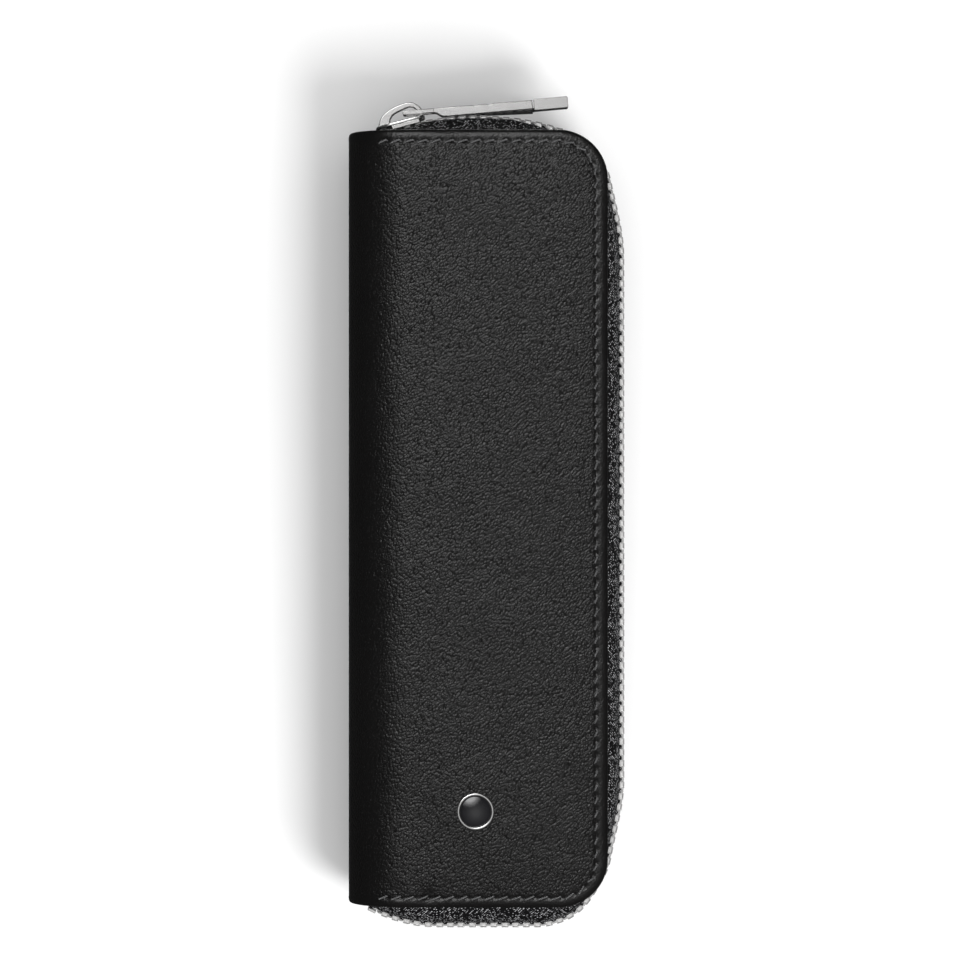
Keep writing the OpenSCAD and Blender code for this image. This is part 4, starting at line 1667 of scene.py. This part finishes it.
@dataclass
class Slider:
    """Die-cast slider: two plates with flanges and a wedge, and the arched bridge."""

    finishes: Finishes
    clear: float = 0.3
    play: float = 0.2
    plate_t: float = 0.8
    sunk: float = 0.2
    back: float = 5.0
    nose: float = 5.8
    half_h: float = 4.2
    channel_h: float = 3.3
    slot_half: float = 0.8
    wedge_h: float = 1.2
    bridge_w: float = 2.6
    bridge_h: float = 4.65
    bridge_t: float = 1.05

    def place(self) -> Place:
        """Slider's frame: +X along the zip, +Y outward, +Z to the front cover."""
        a = math.radians(ZIP.slider_deg)
        origin = (ZIP.arc_x + ZIP.arc_r * math.sin(a), ZIP.arc_y + ZIP.arc_r * math.cos(a), CASE.half_t)
        return Place(origin, (math.cos(a), -math.sin(a), 0.0), (math.sin(a), math.cos(a), 0.0))

    def plate_outline(self) -> list[Flat]:
        """Outline of a plate: a broad shield that narrows to the nose."""
        half = [(-self.nose, 0.0), (-self.nose + 0.12, 1.6), (-self.nose + 0.5, 2.8), (-4.6, 3.5),
                (-3.4, 4.0), (-2.2, self.half_h), (0.0, self.half_h), (2.4, self.half_h - 0.12),
                (self.back - 0.9, 3.95), (self.back - 0.2, 3.3), (self.back, 2.0)]
        return half + [(x, -z) for x, z in reversed(half[1:])]

    def build_body(self) -> None:
        """Builds plates, flanges and wedge as one casting."""
        mill = Mill(self.place(), self.finishes.slider, swap=True)
        top, low = self.clear, -ZIP.tooth_d - self.clear - self.play
        middle = -ZIP.tooth_d / 2
        plate, wedge_h, sunk = self.plate_outline(), self.wedge_h, self.sunk
        wedge = [(-5.2, -wedge_h), (-4.5, -wedge_h), (-3.4, -0.2), (-3.4, 0.2), (-4.5, wedge_h),
                 (-5.2, wedge_h)]
        parts = [
            mill.prism("slider_casting", plate, top, top + self.plate_t, 0.24, segments=3),
            mill.prism("plate", plate, low - self.plate_t, low, 0.24, segments=3),
            mill.prism("wedge", wedge, low - sunk, top + sunk, 0.1),
        ]
        for side in (-1, 1):
            flange = [(-2.6, side * self.channel_h), (self.back - 1.0, side * self.channel_h),
                      (self.back - 1.3, side * (self.half_h - 0.12)), (-2.4, side * (self.half_h - 0.05))]
            for a, b in ((middle + self.slot_half, top + sunk), (low - sunk, middle - self.slot_half)):
                parts.append(mill.prism("flange", flange, a, b, 0.12))
        hand_over(join(parts), "zip_slider", "slider_metal", "slider_body")

    def build_bridge(self) -> None:
        """Builds the arched bridge that the pull hangs on."""
        v0 = self.clear + self.plate_t - self.sunk
        top, low = self.bridge_h, self.bridge_h - self.bridge_t
        outer = [(-5.2, v0), (-5.1, 1.25), (-4.85, 1.85), (-4.4, 2.5), (-3.8, 3.1), (-2.9, top - 0.95),
                 (-1.9, top - 0.58), (-0.6, top - 0.24), (0.8, top - 0.04), (1.8, top), (2.7, top - 0.1),
                 (3.5, top - 0.48), (4.2, top - 1.15), (4.65, 2.8), (4.9, 2.0), (4.95, v0)]
        inner = [(3.95, v0), (3.9, 2.0), (3.6, 2.75), (3.1, low - 0.25), (2.5, low), (1.4, low - 0.08),
                 (0.3, low - 0.28), (-0.7, low - 0.5), (-1.6, low - 0.85), (-2.2, 2.15), (-2.5, 1.5),
                 (-2.45, v0)]
        made = Mill(self.place(), self.finishes.slider).prism(
            "slider_arch", outer + inner, -self.bridge_w / 2, self.bridge_w / 2, 0.2, 50, 3)
        hand_over(made, "zip_slider", "slider_metal", "slider_bridge")

    def build(self) -> None:
        """Builds the slider."""
        self.build_body()
        self.build_bridge()


@dataclass
class Pull:
    """Long flat pull: eye, neck, stepped bar and end block."""

    slider: Slider
    tilt: float = 5.0
    eye_u: float = 1.05
    eye_under: float = 0.65
    eye_t: float = 0.9
    eye_l: float = 5.3
    eye_in: float = 3.3
    eye_side: float = 0.9
    bar_t: float = 1.9
    bar_w: float = 4.6
    length: float = 35.0
    tip_l: float = 7.3
    tip_t: float = 2.4
    tip_wider: float = 0.2
    notch_d: float = 0.18
    lean: float = 0.17
    lean_from: float = 9.0
    lean_run: float = 16.0

    def place(self) -> Place:
        """Pull's frame: origin on the end bar's axis, +X along the pull."""
        v = self.slider.bridge_h - self.slider.bridge_t - self.eye_under - self.eye_t / 2
        a = math.radians(self.tilt)
        return Place(self.slider.place().out((self.eye_u, v, 0)), (math.cos(a), math.sin(a), 0.0),
                     (-math.sin(a), math.cos(a), 0.0))

    def hang(self, made: bpy.types.Object) -> bpy.types.Object:
        """Turns the pull's far side a little towards the zip, more towards its end.

        Args:
            made: the pull's piece, changed in place.

        Returns:
            The same object.
        """
        place = self.place()
        along, down, origin = Vector(place.x), Vector(place.y), Vector(place.origin)
        for vertex in made.data.vertices:
            local = vertex.co / MM - origin
            share = min(1.0, max(0.0, (local.dot(along) - self.lean_from) / self.lean_run))
            vertex.co -= down * (self.lean * share * (self.bar_w / 2 + self.tip_wider - local.z) * MM)
        return made

    def build_bar(self, mill: Mill) -> None:
        """Builds the eye, the neck and the bar.

        Args:
            mill: makes prisms in the pull's frame.
        """
        top, neck = self.eye_t / 2, self.eye_l + self.eye_t / 2
        tip = self.length - self.tip_l
        end, tip_in = tip - 0.3, tip + 0.1
        low, cut = top - self.bar_t, top - self.notch_d
        profile = [
            (neck, -top), (neck + 0.4, -top), (neck + 0.8, -top - 0.04), (neck + 1.2, -top - 0.2),
            (neck + 1.7, mix(-top, low, 0.6)), (neck + 2.2, low + 0.12), (neck + 2.7, low + 0.02),
            (neck + 3.2, low), (end, low), (end, top), (18.8, top), (18.6, cut), (17.8, cut), (17.6, top),
            (15.8, top), (15.6, cut), (14.8, cut), (14.6, top), (neck, top),
        ]
        bar = [(top * math.cos(a), top * math.sin(a)) for a in spread(0, 5.9, 0.39)]
        stub = [(end - 0.1, -1.2), (tip_in, -1.2), (tip_in, 0.2), (end - 0.1, 0.2)]
        rail = [(neck + 0.5, -top), (neck + 0.5, top)]
        rail += [(-top * math.sin(a), top * math.cos(a)) for a in spread(0.0, math.pi, 0.4)]
        parts = [
            mill.prism("pull_blade", profile, -self.bar_w / 2, self.bar_w / 2, 0.16, 20),
            mill.prism("end_bar", bar, -self.eye_in / 2 - 0.3, self.eye_in / 2 + 0.3, 0.05),
            mill.prism("stub", stub, -1.9, 1.7, 0.05),
        ]
        for side in (-1, 1):
            mid = side * (self.eye_in + self.eye_side) / 2
            parts.append(mill.prism("rail", rail, mid - self.eye_side / 2, mid + self.eye_side / 2,
                                    0.12, 60))
        hand_over(self.hang(join(parts)), "zip_pull", "slider_metal", "pull_bar")

    def build_tip(self, mill: Mill) -> None:
        """Builds the end block with its softly rounded edges.

        Args:
            mill: makes prisms in the pull's frame.
        """
        top = self.eye_t / 2 + 0.1
        a, b, low = self.length - self.tip_l, self.length, top - self.tip_t
        wide = self.bar_w / 2 + self.tip_wider
        outline = [(a, low + 0.12), (a + 0.12, low), (b - 0.2, low), (b, low + 0.2), (b, top - 0.2),
                   (b - 0.2, top), (a + 0.12, top), (a, top - 0.12)]
        made = mill.prism("pull_block", outline, -wide, wide, 0.14, 30)
        hand_over(made, "zip_pull", "slider_metal", "pull_tip")

    def build(self) -> None:
        """Builds the pull."""
        mill = Mill(self.place(), self.slider.finishes.slider)
        self.build_bar(mill)
        self.build_tip(mill)


# ---------------------------------------------------------------- emblem


@dataclass
class Emblem:
    """Round emblem low on the front: a polished ring round a plain black dome, and its washer."""

    finishes: Finishes
    centre: Flat = (-0.2, -61.75)
    radius: float = 3.9
    rim: float = 0.6
    height: float = 0.9
    crown: float = 0.42
    dome_steps: int = 8

    def build(self) -> None:
        """Builds ring and dome and gives the washer its finish."""
        place = (*self.centre, 2 * CASE.half_t)
        r, i, h = self.radius, self.radius - self.rim, self.height
        ring = [(0, -0.1), (r - 0.1, -0.1), (r, 0.02), (r, h - 0.18), (r - 0.02, h - 0.1),
                (r - 0.07, h - 0.03), (r - 0.14, h), (r - 0.4, h), (r - 0.5, h - 0.04), (i, h - 0.14),
                (i, 0.3), (0, 0.3)]
        dome = [(0, 0.32), (i - 0.04, 0.32), (i - 0.04, h - 0.38), (i - 0.1, h - 0.3), (i - 0.25, h - 0.26)]
        for k in range(1, self.dome_steps + 1):
            radius = (i - 0.25) * (1 - k / self.dome_steps)
            dome.append((radius, h - 0.26 + self.crown * (1 - (radius / i) ** 2) - 0.06))
        bezel = lathe("emblem_ring", ring, place, self.finishes.emblem)
        inlay = lathe("emblem_dome", dome, place, self.finishes.lacquer)
        hand_over(bezel, "front_half", "emblem_metal", "emblem_bezel")
        hand_over(inlay, "front_half", "emblem_lacquer", "emblem_inlay")
        washer = frame["nodes"]["emblem_washer"].data
        washer.materials.clear()
        washer.materials.append(self.finishes.emblem)


# ---------------------------------------------------------------- inside


@dataclass
class PenHolders:
    """Pen loops, the two-channel pen pocket and the slip pocket."""

    finishes: Finishes
    needle: Needle
    pen_x: float = 3.9
    spacing: float = 19.0
    pen_d: float = 15.6
    wall: float = 1.0
    base_t: float = 0.8
    soft: float = 0.28
    sag: float = 0.12
    sag_w: float = 5.0
    sag_l: float = 9.0
    sag_from: float = 4.0
    loop_l: float = 22.0
    loop_y: float = 36.0
    pocket_l: float = 52.0
    pocket_y: float = 74.0
    arch_steps: int = 28
    slip_w: float = 34.0
    slip_l: float = 92.0
    slip_drop: float = 14.0
    base_z: float = CASE.leather_t + CASE.board_t + CASE.lining_t

    def arch(self, grow: float, low: float) -> list[Flat]:
        """Arch outline from its left foot over the top to its right foot."""
        r, mid = self.pen_d / 2 + grow, self.base_t + self.pen_d / 2
        angles = spread(math.pi, 0, math.pi / self.arch_steps)
        return [(-r, low), *((r * math.cos(a), mid + r * math.sin(a)) for a in angles), (r, low)]

    def channel(self, name: str, x: float, y0: float, y1: float) -> bpy.types.Object:
        """One arched channel with a flat base, with softly rounded rims.

        Args:
            name: the piece's name.
            x: middle of the channel.
            y0: its lower end.
            y1: its upper end.

        Returns:
            The object.
        """
        body = Body(name)
        soft, mid = self.soft, self.base_t + self.pen_d / 2
        levels = [(y0, soft), (y0 + 0.1, 0.08), (y0 + soft, 0.0)]
        levels += [(y, 0.0) for y in spread(y0 + 2, y1 - 2, 2.0)]
        levels += [(y1 - soft, 0.0), (y1 - 0.1, 0.08), (y1, soft)]
        shells = []
        for base, sign in ((self.arch(self.wall, 0.0), -1.0), (self.arch(0.0, self.base_t), 1.0)):
            rows = []
            for y, pinch in levels:
                row = []
                for a, b in base:
                    k = 1 + sign * pinch / math.hypot(a, b - mid)
                    high = b
                    if b > self.base_t:
                        spot = Vector((a / self.sag_w, y / self.sag_l, b / self.sag_w + x))
                        sag = self.sag * noise.noise(spot)
                        high = mid + (b - mid) * k + sag * smooth((b - self.base_t) / self.sag_from)
                    row.append((x + a * k, y, self.base_z + high))
                rows.append(body.row(row))
            body.skin(rows, closed=True)
            shells.append(rows)
        for end in (0, -1):
            body.skin([rows[end] for rows in shells], closed=True)
        return body.make([self.finishes.inner])

    def seam(self, name: str, x: float, y0: float, y1: float, z: float, half: Half) -> None:
        """Sews a straight row of stitches along Y on an inner face.

        Args:
            name: the piece's name.
            x: where the row lies across the case.
            y0: its lower end.
            y1: its upper end.
            z: its height.
            half: the half whose inner face is sewn.
        """
        path = [((x, y, z), (0.0, 0.0, -float(half.value))) for y in spread(y0, y1, 1.0)]
        count = round(abs(y1 - y0) / self.needle.length) + 1
        made = self.needle.sew(name, path, count, self.needle.length, self.needle.sway / 2, 0.05)
        hand_over(made, half.body, "thread")

    def loops(self, sides: dict[str, float]) -> None:
        """Builds the two pen loops on the back lining.

        Args:
            sides: each channel's middle, by its side's word.
        """
        y0, y1 = self.loop_y - self.loop_l / 2, self.loop_y + self.loop_l / 2
        for side, x in sides.items():
            loop = self.channel("pen_band_" + side, x, y0, y1)
            hand_over(loop, "back_half", "inner_leather", "pen_loop_" + side)

    def sleeve(self, sides: dict[str, float]) -> None:
        """Builds the pen pocket on the back lining: two closed channels and the web between them.

        Args:
            sides: each channel's middle, by its side's word.
        """
        low, high = -self.pocket_y, -self.pocket_y + self.pocket_l
        mill = Mill(Place(), self.finishes.inner, swap=True)
        parts = []
        for x in sides.values():
            end = [(x + a, self.base_z + b) for a, b in self.arch(0.3, 0.3)]
            parts.append(self.channel("pen_sleeve", x, low, high))
            parts.append(mill.prism("wall", end, low + 0.1, low + self.wall, 0.1))
        reach = self.spacing / 2 - self.pen_d / 2 - self.wall + 0.3
        a, b = self.pen_x - reach, self.pen_x + reach
        z0, z1 = self.base_z, self.base_z + self.base_t
        parts.append(mill.prism("web", [(a, z0), (b, z0), (b, z1), (a, z1)], low, high, 0.15))
        hand_over(join(parts), "back_half", "inner_leather", "pen_pocket")
        self.seam("pen_sleeve_seam", self.pen_x, low + 1.5, high - 1.5, z1 - 0.02, Half.BACK)

    def slip_pocket(self) -> None:
        """Builds the slip pocket's panel on the front lining, sewn on three sides."""
        top = 2 * CASE.half_t - self.base_z
        x, drop = self.pen_x, self.slip_drop
        x0, x1 = x - self.slip_w / 2, x + self.slip_w / 2
        y0, y1 = -self.slip_l / 2 - drop, self.slip_l / 2 - drop
        outline = [(x0, y0), (x1, y0), (x1, y1), (x + 8, y1), (x + 5, y1 - 1.2), (x, y1 - 2.2),
                   (x - 5, y1 - 1.2), (x - 8, y1), (x0, y1)]
        mill = Mill(Place(), self.finishes.inner)
        parts = [mill.prism("slip_panel", outline, top - 1.3, top - 0.5, 0.25, 40, 3)]
        for a, b, c, d in ((x0, x0 + 1.5, y0, y1), (x1 - 1.5, x1, y0, y1), (x0, x1, y0, y0 + 1.5)):
            parts.append(mill.prism("welt", [(a, c), (b, c), (b, d), (a, d)], top - 0.6, top, 0.08))
        hand_over(join(parts), "front_half", "inner_leather", "front_slip_pocket")
        for place, side in ((x0 + 1.4, "left"), (x1 - 1.4, "right")):
            self.seam("slip_seam_" + side, place, y0 + 3.0, y1 - 1.5, top - 1.26, Half.FRONT)

    def build(self) -> None:
        """Builds the holders."""
        sides = {"left": self.pen_x - self.spacing / 2, "right": self.pen_x + self.spacing / 2}
        self.loops(sides)
        self.sleeve(sides)
        self.slip_pocket()


# ---------------------------------------------------------------- studio


@dataclass
class Studio:
    """Pale floor, soft light and the camera above the case."""

    finishes: Finishes
    camera_at: Point = (0.74, 8.35, 976.0)
    lens: float = 168.4
    sensor: float = 36.0
    far: float = 10.0
    floor_half: float = 1500.0
    floor_drop: float = 0.47
    key_from: Point = (520.0, -520.0, 760.0)
    key_size: float = 520.0
    key_power: float = 8.0
    window_way: Point = (-0.19, 0.43, 0.883)
    window_power: float = 6.5
    sky: float = 0.75
    zenith: Point = (0.0, -0.11, 0.994)
    ceiling: tuple[Flat, ...] = ((0.0, 0.03), (0.5, 0.05), (0.88, 0.1), (0.95, 0.3), (0.98, 0.5),
                                 (1.0, 0.8))
    window: tuple[Flat, ...] = ((0.93, 0.0), (0.965, 0.35), (0.985, 1.0), (1.0, 1.0))

    def key_light(self) -> None:
        """Adds a round soft light that points at the case and stays out of reflections."""
        data = bpy.data.lights.new("key", "AREA")
        data.shape = "DISK"
        data.size = self.key_size * MM
        data.energy = self.key_power
        made = add_object("key", data)
        made.location = metres(self.key_from)
        made.rotation_euler = (-Vector(self.key_from)).to_track_quat("-Z", "Y").to_euler()
        made.visible_glossy = False

    def sky_world(self) -> bpy.types.World:
        """Plain sky for soft light; reflections see a pale ceiling and a bright window."""
        world = bpy.data.worlds.new("sky")
        world.use_nodes = True
        world.node_tree.nodes.clear()
        bench = Bench(world.node_tree)
        way = bench.node("ShaderNodeTexCoord", output="Generated")
        above, window = [
            bench.ramp(bench.node("ShaderNodeVectorMath", {"operation": "DOT_PRODUCT"},
                                  {0: way, 1: aim}, "Value"), stops)
            for aim, stops in ((self.zenith, self.ceiling), (self.window_way, self.window))
        ]
        plain, mirrored = [
            bench.node("ShaderNodeBackground", {}, {"Color": (1, 1, 1, 1), "Strength": strength})
            for strength in (self.sky, above + window * self.window_power)
        ]
        path = bench.node("ShaderNodeLightPath", output="Is Glossy Ray")
        light = bench.node("ShaderNodeMixShader", {}, {0: path, 1: plain, 2: mirrored})
        bench.node("ShaderNodeOutputWorld", {}, {"Surface": light})
        return world

    def build(self) -> None:
        """Builds the stage."""
        body = Body("floor")
        f = self.floor_half
        body.face(body.row((x, y, -self.floor_drop) for x, y in ((-f, -f), (f, -f), (f, f), (-f, f))))
        floor = body.make([self.finishes.floor])
        floor.visible_glossy = False
        self.key_light()
        lens = bpy.data.cameras.new("camera")
        lens.lens = self.lens
        lens.sensor_width = self.sensor
        lens.clip_end = self.far
        camera = add_object("camera", lens)
        camera.location = metres(self.camera_at)
        scene = bpy.context.scene
        scene.world = self.sky_world()
        scene.camera = camera
        scene.view_settings.view_transform = "Standard"
        LOG.info("studio built")


def main() -> None:
    """Builds the case, sub-assembly by sub-assembly."""
    logging.basicConfig(level=logging.INFO, format="%(name)s: %(message)s")
    finishes = Finishes()
    array = PathArray()
    needle = Needle(finishes.thread, array)
    Studio(finishes).build()
    Shell(finishes, needle).build()
    for half in Half:
        ZipTape(half, finishes).build()
        ToothRows(half, finishes, array).build()
    ToothRows(Half.BACK, finishes, array).bottom_stop()
    slider = Slider(finishes)
    slider.build()
    Pull(slider).build()
    Emblem(finishes).build()
    PenHolders(finishes, needle).build()


if __name__ == "__main__":
    main()
